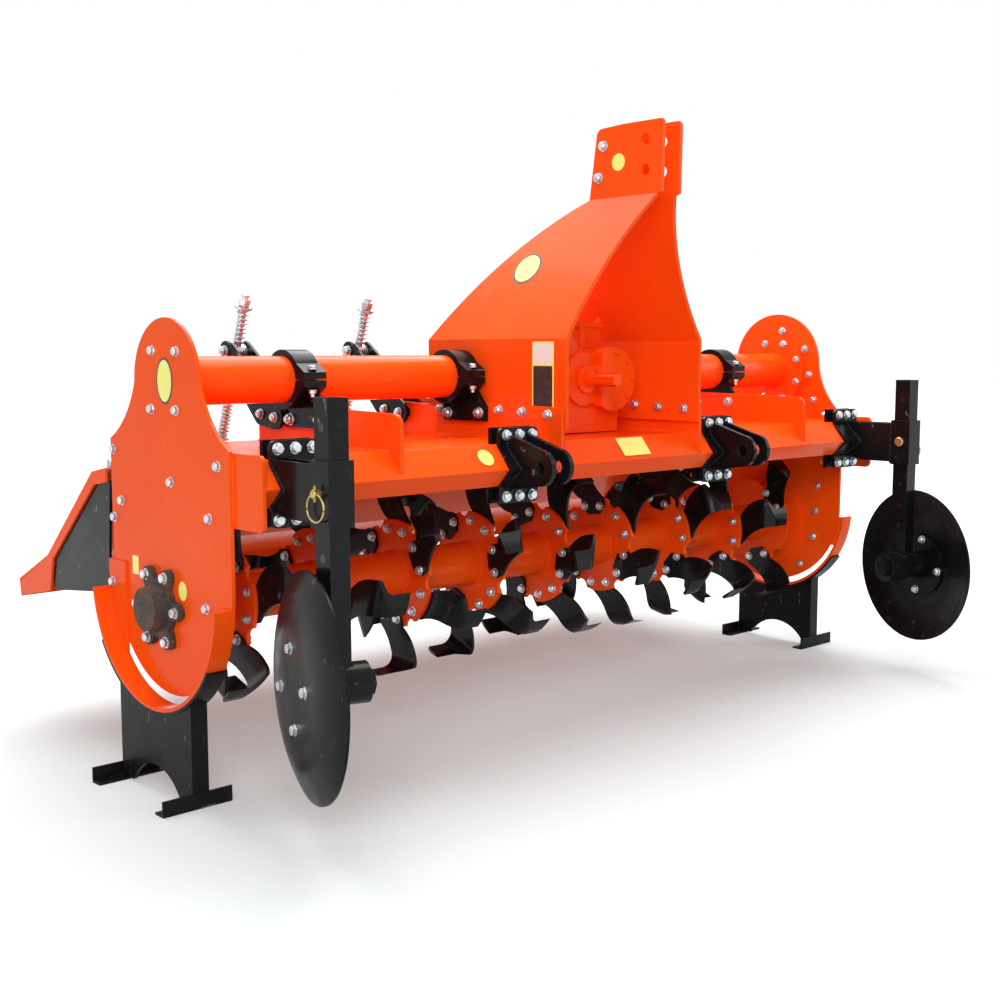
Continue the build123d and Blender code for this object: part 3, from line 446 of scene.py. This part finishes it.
sidePlates = {"face": 1062, "thick": 8, "ear": ((10, 922), (-88, 920), (19, 801), (-82, 801)),
              "body": ((194, 708), (-237, 697), (-54, 653), (-201, 591), (161, 598), (197, 559), (-182, 407)),
              "low": ((-200, 509), (-196, 431), (-189, 350), (-145, 262), (-72, 233)), "size": 9.5}
skidTab = {"place": (203, 415), "reach": 6}
innerFace = sidePlates["face"] - sidePlates["thick"]
plateBolts = []
for hand in (-1, 1):
    outFace, inFace = hand * sidePlates["face"], hand * innerFace
    if hand < 0:
        for y, z in sidePlates["ear"] + sidePlates["body"]:
            plateBolts.append((at(outFace, y, z), outward(hand), sidePlates["size"]))
    for y, z in sidePlates["low"]:
        plateBolts.append((at(inFace, y, z), outward(-hand), sidePlates["size"]))
        if hand > 0:
            plateBolts.append((at(outFace, y, z), outward(hand), sidePlates["size"]))
    y, z = skidTab["place"]
    plateBolts.append((at(outFace + hand * skidTab["reach"], y, z), outward(hand), sidePlates["size"]))
bolts("side_plate_bolts", plateBolts, "frame", seed=5)

tubeFlange = {"y": -39, "z": 859, "count": 8, "first": 22.5, "radius": 88, "face": 1042, "size": 9.5}
tubeRing = circle(tubeFlange["y"], tubeFlange["z"], tubeFlange["radius"], tubeFlange["count"],
                  tubeFlange["first"])
bolts("tube_flange_bolts", mirrored(tubeFlange["face"], tubeRing, tubeFlange["size"], facing=-1), "frame",
      seed=7)

rightEar = {"places": ((-60, 980), (21, 925), (-143, 924), (-160, 846), (-178, 770)), "size": 10}
bolts("right_ear_nuts", [(at(innerFace, y, z), left, rightEar["size"]) for y, z in rightEar["places"]],
      "frame", stub=0.25, seed=9)

starCover = {"radius": 78, "face": 1076, "count": 6, "size": 10.5}
bolts("bearing_cover_bolts", [(at(-starCover["face"], y, z), left, starCover["size"])
                              for y, z in circle(0, rotorZ, starCover["radius"], starCover["count"])],
      "frame", seed=11)

mastFoot = {"places": ((112, 776), (42, 776), (-175, 780), (-255, 778), (-340, 775)), "nutFace": 254,
            "headFace": 234, "size": 10.5}
bolts("mast_foot_nuts", mirrored(mastFoot["nutFace"], mastFoot["places"], mastFoot["size"]), "frame",
      stub=0.45, seed=13)
bolts("mast_foot_bolts", mirrored(mastFoot["headFace"], mastFoot["places"], mastFoot["size"], facing=-1),
      "frame", seed=15)

clampFeet = {"places": ((-6, 769), (-119, 772)), "nutFaces": (734, 268), "headFace": 710, "size": 12}
clampNuts = []
for face in clampFeet["nutFaces"]:
    clampNuts += mirrored(face, clampFeet["places"], clampFeet["size"])
bolts("clamp_foot_nuts", clampNuts, "frame", stub=0.4, seed=17)
bolts("clamp_foot_bolts",
      mirrored(clampFeet["headFace"], clampFeet["places"], clampFeet["size"], facing=-1), "frame", seed=19)

clampBolts = {"reach": 73, "half": 22, "centres": (749, 283), "size": 9}
capHeads, capNuts = [], []
for x in clampBolts["centres"]:
    for hand in (-1, 1):
        for side in (-1, 1):
            y = tubeFlange["y"] + side * clampBolts["reach"]
            capHeads.append((at(hand * x, y, tubeFlange["z"] + clampBolts["half"]), up, clampBolts["size"]))
            capNuts.append((at(hand * x, y, tubeFlange["z"] - clampBolts["half"]), down, clampBolts["size"]))
bolts("clamp_cap_bolts", capHeads, "frame", seed=21)
bolts("clamp_cap_nuts", capNuts, "frame", stub=0.8, seed=23)

barPlates = {"hitch": (320, 360, 400), "disc": (921, 961, 1001), "heights": (735, 597), "front": -353,
             "rear": -316, "size": 10.5}
barHeads, barNuts = [], []
for x in barPlates["hitch"] + barPlates["disc"]:
    for hand in (-1, 1):
        for z in barPlates["heights"]:
            barHeads.append((at(hand * x, barPlates["front"], z), ahead, barPlates["size"]))
            barNuts.append((at(hand * x, barPlates["rear"], z), behind, barPlates["size"]))
bolts("bracket_bolts", barHeads, "frame", seed=25)
bolts("bracket_nuts", barNuts, "frame", stub=0.6, seed=27)

mastEar = {"places": ((-305, 1403), (-290, 1330)), "face": 36, "size": 11}
bolts("mast_ear_bolts", mirrored(mastEar["face"], mastEar["places"], mastEar["size"]), "frame", stub=0.3,
      seed=29)

rods = {"xs": (-715, -357, 357, 715), "foot": ((42, 772), (98, 778)), "half": 30, "footSize": 10,
        "pin": (246, 920), "pinGap": 0.5, "pinSize": 12}
pinY, pinZ = rods["pin"]
footBolts = []
for x in rods["xs"]:
    for hand in (-1, 1):
        for y, z in rods["foot"]:
            footBolts.append((at(x + hand * rods["half"], y, z), outward(hand), rods["footSize"]))
bolts("rod_bracket_bolts", footBolts, "frame", stub=0.3, seed=31)
for i, x in enumerate(rods["xs"]):
    ends = [(at(x + hand * (rods["half"] + rods["pinGap"]), pinY, pinZ), outward(hand), rods["pinSize"])
            for hand in (-1, 1)]
    bolts(f"trunnion_bolts_{i + 1}", ends, f"trunnion_{i + 1}", stub=0.3, seed=33 + i)

gearbox = {"cover": (82, 850), "ring": 66, "face": -238, "turns": (-85, -42.5, 0, 42.5, 85), "size": 6.5,
           "lidX": (-50, 4, 98), "lidY": (-170, -66), "lidTop": (983, 996, 996)}
coverX, coverZ = gearbox["cover"]
boxBolts = []
for turn in gearbox["turns"]:
    angle = math.radians(turn)
    boxBolts.append((at(coverX + gearbox["ring"] * math.cos(angle), gearbox["face"],
                        coverZ + gearbox["ring"] * math.sin(angle)), ahead, gearbox["size"]))
for x, top in zip(gearbox["lidX"], gearbox["lidTop"]):
    for y in gearbox["lidY"]:
        boxBolts.append((at(x, y, top), up, gearbox["size"]))
bolts("gearbox_bolts", boxBolts, "frame", finish="castPaint", seed=39)

# The drive case: bolts along both straight sides and round half of each end, which is a place and a radius
driveCase = {"face": 1076, "top": (-39, 859, 104), "low": (0, rotorZ, 100), "sides": (0.25, 0.5, 0.75),
             "ringCount": 8, "endBolts": 5, "size": 6.5}
topY, topZ, topRadius = driveCase["top"]
lowY, lowZ, lowRadius = driveCase["low"]
caseLine = Vector((lowY - topY, lowZ - topZ)).normalized()
caseBolts = []
for share in driveCase["sides"]:
    for side in (-1, 1):
        reach = side * (topRadius + (lowRadius - topRadius) * share)
        caseBolts.append((topY + (lowY - topY) * share - caseLine.y * reach,
                          topZ + (lowZ - topZ) * share + caseLine.x * reach))
caseBolts += circle(topY, topZ, topRadius, driveCase["ringCount"])[:driveCase["endBolts"]]
caseBolts += circle(lowY, lowZ, lowRadius, driveCase["ringCount"], 180)[:driveCase["endBolts"]]
bolts("drive_case_bolts", [(at(driveCase["face"], y, z), right, driveCase["size"]) for y, z in caseBolts],
      "frame", seed=47)
print("frame fasteners placed")

# Rotor: two bolts through each blade and its flange
rotor = {"flanges": 9, "pitch": 240, "shift": 45, "thick": 10, "blade": 8, "blades": 3, "boltRadius": 110,
         "boltSpread": 15, "turn": 17, "size": 10}


# Both faces of each flange carry blades, apart from the right face of the last one
def flangeFaces():
    last = rotor["flanges"] - 1
    for i in range(rotor["flanges"]):
        for hand in (-1, 1):
            if hand < 0 or i < last:
                yield i, rotor["shift"] + (i - last / 2) * rotor["pitch"], hand


bladeAngle = 360 / rotor["blades"]
bladeBolts, bladeNuts = [], []
for i, flangeX, hand in flangeFaces():
    for k in range(rotor["blades"]):
        middle = rotor["turn"] * i + bladeAngle * k + (bladeAngle / 2 if hand > 0 else 0)
        for side in (-1, 1):
            angle = math.radians(middle + side * rotor["boltSpread"])
            y = rotor["boltRadius"] * math.cos(angle)
            z = rotorZ + rotor["boltRadius"] * math.sin(angle)
            head = flangeX + hand * (rotor["thick"] / 2 + rotor["blade"])
            back = flangeX - hand * rotor["thick"] / 2
            bladeBolts.append((at(head, y, z), outward(hand), rotor["size"]))
            bladeNuts.append((at(back, y, z), outward(-hand), rotor["size"]))
bolts("blade_bolts", bladeBolts, "rotor", seed=41)
bolts("blade_nuts", bladeNuts, "rotor", stub=0.35, seed=43)

# Discs: four bolts and nuts on the hub of each, on an axis that is toed in. x, y and z are where that axis
# crosses the middle of the leg, and the disc's middle and its flange lie further out along it.
discs = {"x": 998, "y": -525, "z": 305, "toe": 17.5, "apex": 80, "flange": 68, "radius": 75, "count": 4,
         "first": 8, "size": 10}
toe = math.radians(discs["toe"])
for hand, sideName in ((-1, "left"), (1, "right")):
    out = Vector((hand * math.cos(toe), -hand * math.sin(toe), 0))
    across = Vector((-out.y, out.x, 0))
    centre = at(hand * discs["x"], discs["y"], discs["z"]) + out * discs["apex"] / 1000
    inward = out * (discs["flange"] - discs["apex"]) / 1000
    heads, nuts = [], []
    for level, upward in spokes(discs["count"], discs["first"]):
        offset = (across * level + Vector(up) * upward) * discs["radius"] / 1000
        heads.append((centre + offset, tuple(out), discs["size"]))
        nuts.append((centre + inward + offset, tuple(-out), discs["size"]))
    bolts(f"disc_bolts_{sideName}", heads, f"disc_{sideName}", seed=45)
    bolts(f"disc_nuts_{sideName}", nuts, f"disc_{sideName}", stub=0.3, seed=46)
print("rotor and disc fasteners placed")

# Coil springs on the rods: the upper one stays on its trunnion, the lower one rides on the rod.
# Each has its start and end along the rod, from the trunnion's pin towards the eye, and its number of turns.
springs = {"radius": 13, "wire": 2.2, "upper": (-106, -19, 8), "lower": (20, 217, 21), "eye": (334, 672),
           "turnSteps": 26, "wireSides": 10}


def springTree():
    n = Nodes("coil", {"Turns": ("NodeSocketFloat", 10.0), "Radius": ("NodeSocketFloat", 0.015),
                       "Length": ("NodeSocketFloat", 0.1), "Wire": ("NodeSocketFloat", 0.002),
                       "Material": ("NodeSocketMaterial", None)})
    radius = n.input("Radius")
    spiral = n.add("GeometryNodeCurveSpiral", {}, {"Resolution": springs["turnSteps"],
                                                   "Rotations": n.input("Turns"), "Start Radius": radius,
                                                   "End Radius": radius, "Height": n.input("Length")})
    profile = n.add("GeometryNodeCurvePrimitiveCircle", {"mode": "RADIUS"},
                    {"Resolution": springs["wireSides"], "Radius": n.input("Wire")})
    coil = n.add("GeometryNodeCurveToMesh", {}, {"Curve": spiral, "Profile Curve": profile,
                                                 "Fill Caps": True})
    n.close(n.add("GeometryNodeSetShadeSmooth", {}, {"Geometry": coil}))
    return n


coils = springTree()
eyeY, eyeZ = springs["eye"]
rodDirection = Vector((0, eyeY - pinY, eyeZ - pinZ)).normalized()
rodTurn = rodDirection.to_track_quat("Z", "Y").to_matrix().to_4x4()
slideRange = {joint["child"]: joint["range_m"][1] for joint in frame["joints"] if joint["type"] == "slide"}
for i, x in enumerate(rods["xs"]):
    pin = at(x, pinY, pinZ)
    for part in ("upper", "lower"):
        start, end, turns = springs[part]
        length = (end - start) / 1000
        made = coils.run(bpy.data.meshes.new("empty"), {"Turns": float(turns), "Length": length,
                                                        "Radius": springs["radius"] / 1000,
                                                        "Wire": springs["wire"] / 1000,
                                                        "Material": finishes["zinc"]})
        made.transform(Matrix.Translation(pin + rodDirection * start / 1000) @ rodTurn)
        if part == "upper":
            pieceFrom(f"spring_upper_{i + 1}", made, f"trunnion_{i + 1}", "zinc")
        else:
            piece = pieceFrom(f"spring_lower_{i + 1}", made, f"spring_rod_{i + 1}", "zinc")
            travel = slideRange[f"spring_rod_{i + 1}"]
            f"spring_rod_{i + 1}_slide"
            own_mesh(piece)
print("springs wound")

# Weld beads: small ripples laid close together along each seam
seam = {"step": 0.0055, "bead": 0.0038, "least": 0.85, "most": 1.2, "rounds": 2}


def seamTree():
    n = Nodes("seam", {"Step": ("NodeSocketFloat", 0.005), "Bead": ("NodeSocketFloat", 0.0035),
                       "Seed": ("NodeSocketInt", 1), "Material": ("NodeSocketMaterial", None)})
    line = n.add("GeometryNodeMeshToCurve", {}, {"Mesh": n.input("Geometry")})
    even = n.add("GeometryNodeResampleCurve", {"mode": "LENGTH"}, {"Curve": line, "Length": n.input("Step")})
    ripple = n.add("GeometryNodeMeshIcoSphere", {}, {"Radius": n.input("Bead"),
                                                     "Subdivisions": seam["rounds"]}, out="Mesh")
    size = n.add("FunctionNodeRandomValue", {"data_type": "FLOAT"},
                 {"Min": seam["least"], "Max": seam["most"], "Seed": n.input("Seed")}, out=1)
    many = n.add("GeometryNodeInstanceOnPoints", {}, {"Points": even, "Instance": ripple, "Scale": size})
    n.close(n.add("GeometryNodeSetShadeSmooth", {}, {"Geometry": many}))
    return n


weld = seamTree()


def beads(name, lines, body, finish, seed):
    points, edges = [], []
    for line in lines:
        edges += [(len(points) + k, len(points) + k + 1) for k in range(len(line) - 1)]
        points += line
    mesh = bpy.data.meshes.new("seams")
    mesh.from_pydata(points, edges, [])
    made = weld.run(mesh, {"Step": seam["step"], "Bead": seam["bead"], "Seed": seed,
                           "Material": finishes[finish]})
    return pieceFrom(name, made, body, finish)


def ring(x, y, z, radius, steps=36):
    places = circle(y, z, radius, steps)
    return [at(x, *place) for place in places + places[:1]]


# Seams of the frame: the bar's ends, both sides of the deck's ribs, and the main tube at its flanges
frameSeam = {"endY": -278, "endZ": (592, 712), "ribFronts": {715: -341, 249: -341, 357: -60}, "ribRear": 144,
             "ribZ": 714, "ribHalf": 5, "tube": 51}
frameSeams = [[at(hand * innerFace, frameSeam["endY"], z) for z in frameSeam["endZ"]] for hand in (-1, 1)]
for x, front in frameSeam["ribFronts"].items():
    for hand in (-1, 1):
        for side in (-1, 1):
            place = hand * x + side * frameSeam["ribHalf"]
            frameSeams.append([at(place, y, frameSeam["ribZ"]) for y in (front, frameSeam["ribRear"])])
for hand in (-1, 1):
    frameSeams.append(ring(hand * tubeFlange["face"], tubeFlange["y"], tubeFlange["z"], frameSeam["tube"]))
beads("frame_seams", frameSeams, "frame", "sheetPaint", 51)

# Seams of the brackets: each web follows the bar's nose, and the webs of the disc brackets meet the sleeve
nose = ((-353, 705), (-399, 660), (-353, 623))
bracketSeam = {"hitchWebs": (334, 389), "hitchHalf": 6, "hitchEnds": ((-353, 738), (-353, 612)),
               "discWebs": (972.75, 1012.75), "discHalf": 4, "discEnds": ((-353, 715), (-353, 615)),
               "sleeveY": -496, "sleeveZ": (606, 715)}
bracketSeams = []
for hand in (-1, 1):
    for kind in ("hitch", "disc"):
        first, last = bracketSeam[kind + "Ends"]
        for x in bracketSeam[kind + "Webs"]:
            for side in (-1, 1):
                place = hand * x + side * bracketSeam[kind + "Half"]
                bracketSeams.append([at(place, y, z) for y, z in (first, *nose, last)])
                if kind == "disc":
                    sleeveY = bracketSeam["sleeveY"]
                    bracketSeams.append([at(place, sleeveY, z) for z in bracketSeam["sleeveZ"]])
beads("bracket_seams", bracketSeams, "frame", "plateBlack", 53)

# Seams of the legs: round each square leg where it meets its hub, a cylinder along the disc's axis
legSeam = {"half": 22.5, "hub": 40, "sideSteps": 8}
legSeams = []
for hand in (-1, 1):
    along = (hand * math.cos(toe), -hand * math.sin(toe))
    loop = []
    for side in range(4):
        for k in range(legSeam["sideSteps"] + 1):
            u, v = legSeam["half"], legSeam["half"] * (2 * k / legSeam["sideSteps"] - 1)
            for turn in range(side):
                u, v = -v, u
            off = -u * along[1] + v * along[0]
            height = math.sqrt(legSeam["hub"] ** 2 - off ** 2)
            loop.append(at(hand * discs["x"] + u, discs["y"] + v, discs["z"] + height))
    legSeams.append(loop + loop[:1])
beads("leg_seams", legSeams, "frame", "plateBlack", 55)

flangeSeam = {"radius": 55}
rotorSeams = [ring(flangeX + hand * rotor["thick"] / 2, 0, rotorZ, flangeSeam["radius"])
              for i, flangeX, hand in flangeFaces()]
beads("rotor_seams", rotorSeams, "rotor", "sheetPaint", 57)
print("seams laid")


# A skin over a row of rings with equal numbers of points
def skinned(name, rings, body, finish, closed=False, smooth=False):
    builder = bmesh.new()
    loops = [[builder.verts.new(point) for point in points] for points in rings]
    steps = len(loops[0])
    for below, above in zip(loops, loops[1:] + (loops[:1] if closed else [])):
        for k in range(steps):
            after = (k + 1) % steps
            builder.faces.new((below[k], below[after], above[after], above[k]))
    if not closed:
        builder.faces.new(loops[0][::-1])
        builder.faces.new(loops[-1])
    for face in builder.faces:
        face.smooth = smooth
    return builtPiece(builder, name, body, finish)


def turned(name, profile, origin, axis, body, finish, steps=28):
    turn = Vector(axis).to_track_quat("Z", "Y")
    rings = [[origin + turn @ Vector((radius * u, radius * v, height)) / 1000 for u, v in spokes(steps)]
             for radius, height in profile]
    return skinned(name, rings, body, finish)


def wire(name, points, radius, body, finish, closed=False, steps=10):
    rings, count = [], len(points)
    for i, point in enumerate(points):
        before = points[i - 1] if i or closed else point
        after = points[(i + 1) % count] if i + 1 < count or closed else point
        turn = (after - before).normalized().to_track_quat("Z", "Y")
        rings.append([point + turn @ Vector((u, v, 0)) * radius / 1000 for u, v in spokes(steps)])
    return skinned(name, rings, body, finish, closed, smooth=True)


# The pins that hold the legs in their sleeves, each with a shank and a ring at its head
legPin = {"z": 664, "reach": 29, "radius": 8.5, "head": 13, "headHeight": 9, "bevel": 2, "tip": 16,
          "ring": 26, "ringLean": 0.004, "ringSteps": 32, "wire": 2, "shank": 3.4, "shankHalf": 15}
far, bevel = legPin["reach"], legPin["bevel"]
pinProfile = [(legPin["head"] - bevel, -far - legPin["headHeight"]),
              (legPin["head"], -far - legPin["headHeight"] + bevel), (legPin["head"], -far),
              (legPin["radius"], -far), (legPin["radius"], far + legPin["tip"] - bevel),
              (legPin["radius"] - bevel, far + legPin["tip"])]
for hand, sideName in ((-1, "left"), (1, "right")):
    middle = at(hand * discs["x"], discs["y"], legPin["z"])
    turned(f"leg_pin_{sideName}", pinProfile, middle, outward(hand), "frame", "gold")
    keeper = middle + Vector((hand * (far + legPin["headHeight"]) / 1000, 0, 0))
    centre = keeper + Vector((0, 0, -legPin["ring"] / 1000))
    ringPoints = [centre + Vector((hand * legPin["ringLean"] * v, v, u)) * legPin["ring"] / 1000
                  for u, v in spokes(legPin["ringSteps"])]
    wire(f"leg_pin_ring_{sideName}", ringPoints, legPin["wire"], "frame", "gold", closed=True)
    shank = [keeper + Vector((0, 0, side * legPin["shankHalf"] / 1000)) for side in (-1, 1)]
    wire(f"leg_pin_shank_{sideName}", shank, legPin["shank"], "frame", "gold")

breather = {"place": (32, -150, 990),
            "profile": ((9, 0), (9, 9), (4.5, 9), (4.5, 26), (9, 26), (10, 29), (10, 44), (7, 48))}
turned("breather", breather["profile"], at(*breather["place"]), up, "frame", "zinc")
print("pins placed")


# A flat piece is an outline on a face that is raised by its thickness
def flatPiece(name, outline, origin, across, upward, thick, finish):
    builder = bmesh.new()
    across, upward = Vector(across), Vector(upward)
    away = across.cross(upward).normalized()
    base = [builder.verts.new(origin + across * u / 1000 + upward * v / 1000) for u, v in outline]
    made = bmesh.ops.extrude_face_region(builder, geom=[builder.faces.new(base)])
    raised = [item for item in made["geom"] if isinstance(item, bmesh.types.BMVert)]
    bmesh.ops.translate(builder, verts=raised, vec=away * thick / 1000)
    return builtPiece(builder, name, "frame", finish)


def oval(width, height, steps=40):
    return [(width / 2 * u, height / 2 * v) for u, v in spokes(steps)]


def panel(width, height, corner=3, steps=5):
    points = []
    for sx, sy, first in ((1, 1, 0), (-1, 1, 90), (-1, -1, 180), (1, -1, 270)):
        for k in range(steps + 1):
            angle = math.radians(first + 90 * k / steps)
            points.append((sx * (width / 2 - corner) + corner * math.cos(angle),
                           sy * (height / 2 - corner) + corner * math.sin(angle)))
    return points


# A yellow field on a dark oval that stands out round it
film = {"thick": 0.4, "rimThick": 0.5}


def badge(name, width, height, rim, origin, upward):
    raised = Vector(ahead).cross(Vector(upward)).normalized() * film["rimThick"] / 1000
    flatPiece(name + "_rim", oval(width, height), origin, ahead, upward, film["rimThick"], "darkFilm")
    flatPiece(name, oval(width - 2 * rim, height - 2 * rim), origin + raised, ahead, upward, film["thick"],
              "yellow")


earBadge = {"place": (-sidePlates["face"], -37, 860), "size": (66, 96), "rim": 5}
badge("ear_badge", *earBadge["size"], earBadge["rim"], at(*earBadge["place"]), up)

mastBadge = {"foot": (-239, -150, 947), "lean": (208, 0, 333), "up": 0.200, "surface": 0.005,
             "size": (88, 88), "rim": 6}
lean = Vector(mastBadge["lean"]).normalized()     # the way the mast plate leans
offPlate = Vector((-lean.z, 0, lean.x))
badge("mast_badge", *mastBadge["size"], mastBadge["rim"],
      at(*mastBadge["foot"]) + lean * mastBadge["up"] + offPlate * mastBadge["surface"], tuple(lean))

barSlope = (0, 0.632, 0.775)     # the way up on the upper fold of the bar
films = {"cover_film": (panel(26, 40), (-sidePlates["face"], 110, 462), ahead, up, 0.4, "yellow"),
         "cover_dot": (oval(32, 40), (-sidePlates["face"], -88, 430), ahead, up, 0.4, "yellow"),
         "bar_dot": (oval(42, 42), (-470, -363, 689), right, barSlope, 0.5, "yellow"),
         "bar_film": (panel(96, 52), (16, -363, 690), right, barSlope, 0.5, "yellow"),
         "mast_ear_dot": (oval(40, 40), (-36, -352, 1362), ahead, up, 0.5, "yellow"),
         "data_plate": (panel(70, 160), (-244, -312, 862), ahead, up, 0.6, "yellow"),
         "data_plate_upper": (panel(62, 48), (-244.6, -312, 914), ahead, up, 0.4, "silverFilm"),
         "data_plate_lower": (panel(62, 100), (-244.6, -312, 836), ahead, up, 0.4, "darkFilm")}
for name, (outline, place, across, upward, thick, finish) in films.items():
    flatPiece(name, outline, at(*place), across, upward, thick, finish)

# The disc on the gearbox's front cover, cut off on one side
coverPlate = {"radius": 80, "cut": -44, "steps": 36, "from": -214, "thick": 24}
limit = math.acos(coverPlate["cut"] / coverPlate["radius"])
arc = []
for k in range(coverPlate["steps"] + 1):
    angle = -limit + 2 * limit * k / coverPlate["steps"]
    arc.append((coverPlate["radius"] * math.cos(angle), coverPlate["radius"] * math.sin(angle)))
flatPiece("gearbox_cover_plate", arc, at(coverX, coverPlate["from"], coverZ), right, up, coverPlate["thick"],
          "castPaint")

# The part of the gearbox's lid that the CAD has too far left: block, rim, rib and the bosses of its bolts
lid = {"x": 43, "y": -118, "width": 138, "length": 132, "base": 915, "top": 990, "corner": 12, "rim": 8,
       "rimCorner": 14, "rimHeight": 10, "step": 4, "ribX": 15, "ribWidth": 10, "ribLength": 138,
       "ribCorner": 2, "boss": 10, "bossSteps": 24, "bossHeight": 6}
lidHeight = lid["top"] - lid["base"]
flatPiece("gearbox_lid", panel(lid["width"] - 2 * lid["rim"], lid["length"] - 2 * lid["rim"], lid["corner"]),
          at(lid["x"], lid["y"], lid["base"]), right, behind, lidHeight - lid["step"], "castPaint")
flatPiece("gearbox_lid_rim", panel(lid["width"], lid["length"], lid["rimCorner"]),
          at(lid["x"], lid["y"], lid["top"] - lid["rimHeight"]), right, behind, lid["rimHeight"], "castPaint")
flatPiece("gearbox_lid_rib", panel(lid["ribWidth"], lid["ribLength"], lid["ribCorner"]),
          at(lid["ribX"], lid["y"], lid["base"]), right, behind, lidHeight + lid["step"], "castPaint")
bossPlaces = [(x, y) for x in gearbox["lidX"][1:] for y in gearbox["lidY"]]
for k, (x, y) in enumerate(bossPlaces):
    flatPiece(f"gearbox_lid_boss_{k + 1}", oval(2 * lid["boss"], 2 * lid["boss"], lid["bossSteps"]),
              at(x, y, lid["top"]), right, behind, lid["bossHeight"], "castPaint")

# Dark ovals of painted shade stand for the pin holes of the legs; the sleeve hides those behind it
legHoleShades = {"heights": (784, 724, 604, 544, 484, 424), "sleeve": (599, 730), "across": 17, "steps": 24,
            "thick": 0.3}
sleeveLow, sleeveHigh = legHoleShades["sleeve"]
for hand, sideName in ((-1, "left"), (1, "right")):
    for side, across in ((-1, ahead), (1, behind)):
        faceX = hand * discs["x"] + side * legSeam["half"]
        faceName = "in" if side * hand < 0 else "out"
        for k, z in enumerate(legHoleShades["heights"]):
            if not sleeveLow < z < sleeveHigh:
                flatPiece(f"leg_hole_{sideName}_{faceName}_{k + 1}",
                          oval(legHoleShades["across"], legHoleShades["across"], legHoleShades["steps"]),
                          at(faceX, discs["y"], z), across, up, legHoleShades["thick"], "holeShade")
print("blank plates fixed")

# The floor looks white where it fades into the sky and a light grey close to the machine
stage = {"floorSize": 60, "tone": (0.57, 0.60, 0.603), "glow": 0.25, "fadeFrom": 1.9, "fadeTo": 4.2}
builder = bmesh.new()
half = stage["floorSize"] / 2
corners = [(-half, -half, 0), (half, -half, 0), (half, half, 0), (-half, half, 0)]
builder.faces.new([builder.verts.new(corner) for corner in corners])
floorMesh = bpy.data.meshes.new("floor")
builder.to_mesh(floorMesh)
builder.free()
floor = bpy.data.objects.new("floor", floorMesh)
scene.collection.objects.link(floor)
f = Finish("floor_white")
seen = f.add("ShaderNodeLightPath", out="Is Camera Ray") + f.add("ShaderNodeLightPath", out="Is Glossy Ray")
seen = seen + f.add("ShaderNodeLightPath", out="Is Transmission Ray")
distance = f.add("ShaderNodeVectorMath", {"operation": "LENGTH"}, [f.place()], out="Value")
fade = f.add("ShaderNodeMapRange", {"interpolation_type": "SMOOTHSTEP"},
             [distance, stage["fadeFrom"], stage["fadeTo"], stage["glow"], 1.0])
level = seen * fade
f.shade(Base_Color=(*stage["tone"], 1), Roughness=1.0, Specular_IOR_Level=0.0,
        Emission_Color=f.add("ShaderNodeCombineColor", {}, [level, level, level]), Emission_Strength=1.0)
floorMesh.materials.append(f.material)

# The sky is white to the camera and in reflections, and dimmer where it only fills the shadows
sky = {"fill": 0.36}
world = bpy.data.worlds.new("sky")
scene.world = world
world.use_nodes = True
tree = world.node_tree
tree.nodes.clear()
paths = tree.nodes.new("ShaderNodeLightPath")
background = tree.nodes.new("ShaderNodeBackground")
background.inputs["Color"].default_value = (1, 1, 1, 1)
fill = tree.nodes.new("ShaderNodeValue")
fill.outputs[0].default_value = sky["fill"]
strength = fill.outputs[0]
for ray in ("Is Camera Ray", "Is Glossy Ray", "Is Transmission Ray"):
    most = tree.nodes.new("ShaderNodeMath")
    most.operation = "MAXIMUM"
    tree.links.new(paths.outputs[ray], most.inputs[0])
    tree.links.new(strength, most.inputs[1])
    strength = most.outputs[0]
tree.links.new(strength, background.inputs["Strength"])
tree.links.new(background.outputs[0], tree.nodes.new("ShaderNodeOutputWorld").inputs["Surface"])


def stand(name, data, place):
    holder = bpy.data.objects.new(name, data)
    holder.location = place
    scene.collection.objects.link(holder)
    return holder


# Each lamp: its place, what it points at, its size in metres and its power in watts
lamps = {"overhead": ((0.6, 1.4, 4.6), (0, 0, 0.7), 5.0, 440),
         "frontLeft": ((-4.4, -4.6, 3.4), (0, 0, 0.6), 3.2, 215),
         "right": ((4.6, -3.0, 2.6), (0.2, 0, 0.5), 2.6, 60)}
for name, (place, target, size, power) in lamps.items():
    lamp = bpy.data.lights.new(name, "AREA")
    lamp.energy, lamp.size = power, size
    way = Vector(target) - Vector(place)
    stand(name, lamp, place).rotation_euler = way.to_track_quat("-Z", "Y").to_euler()

# The camera of the photograph, as fitted to it
view = {"place": (-2.422, -2.507, 0.925), "tilt": 83.52, "turn": -43, "lens": 47.87, "sensor": 36}
camera = bpy.data.cameras.new("camera")
camera.lens, camera.sensor_width = view["lens"], view["sensor"]
scene.camera = stand("camera", camera, view["place"])
scene.camera.rotation_euler = (math.radians(view["tilt"]), 0, math.radians(view["turn"]))
scene.view_settings.view_transform = "Standard"
print("stage set")
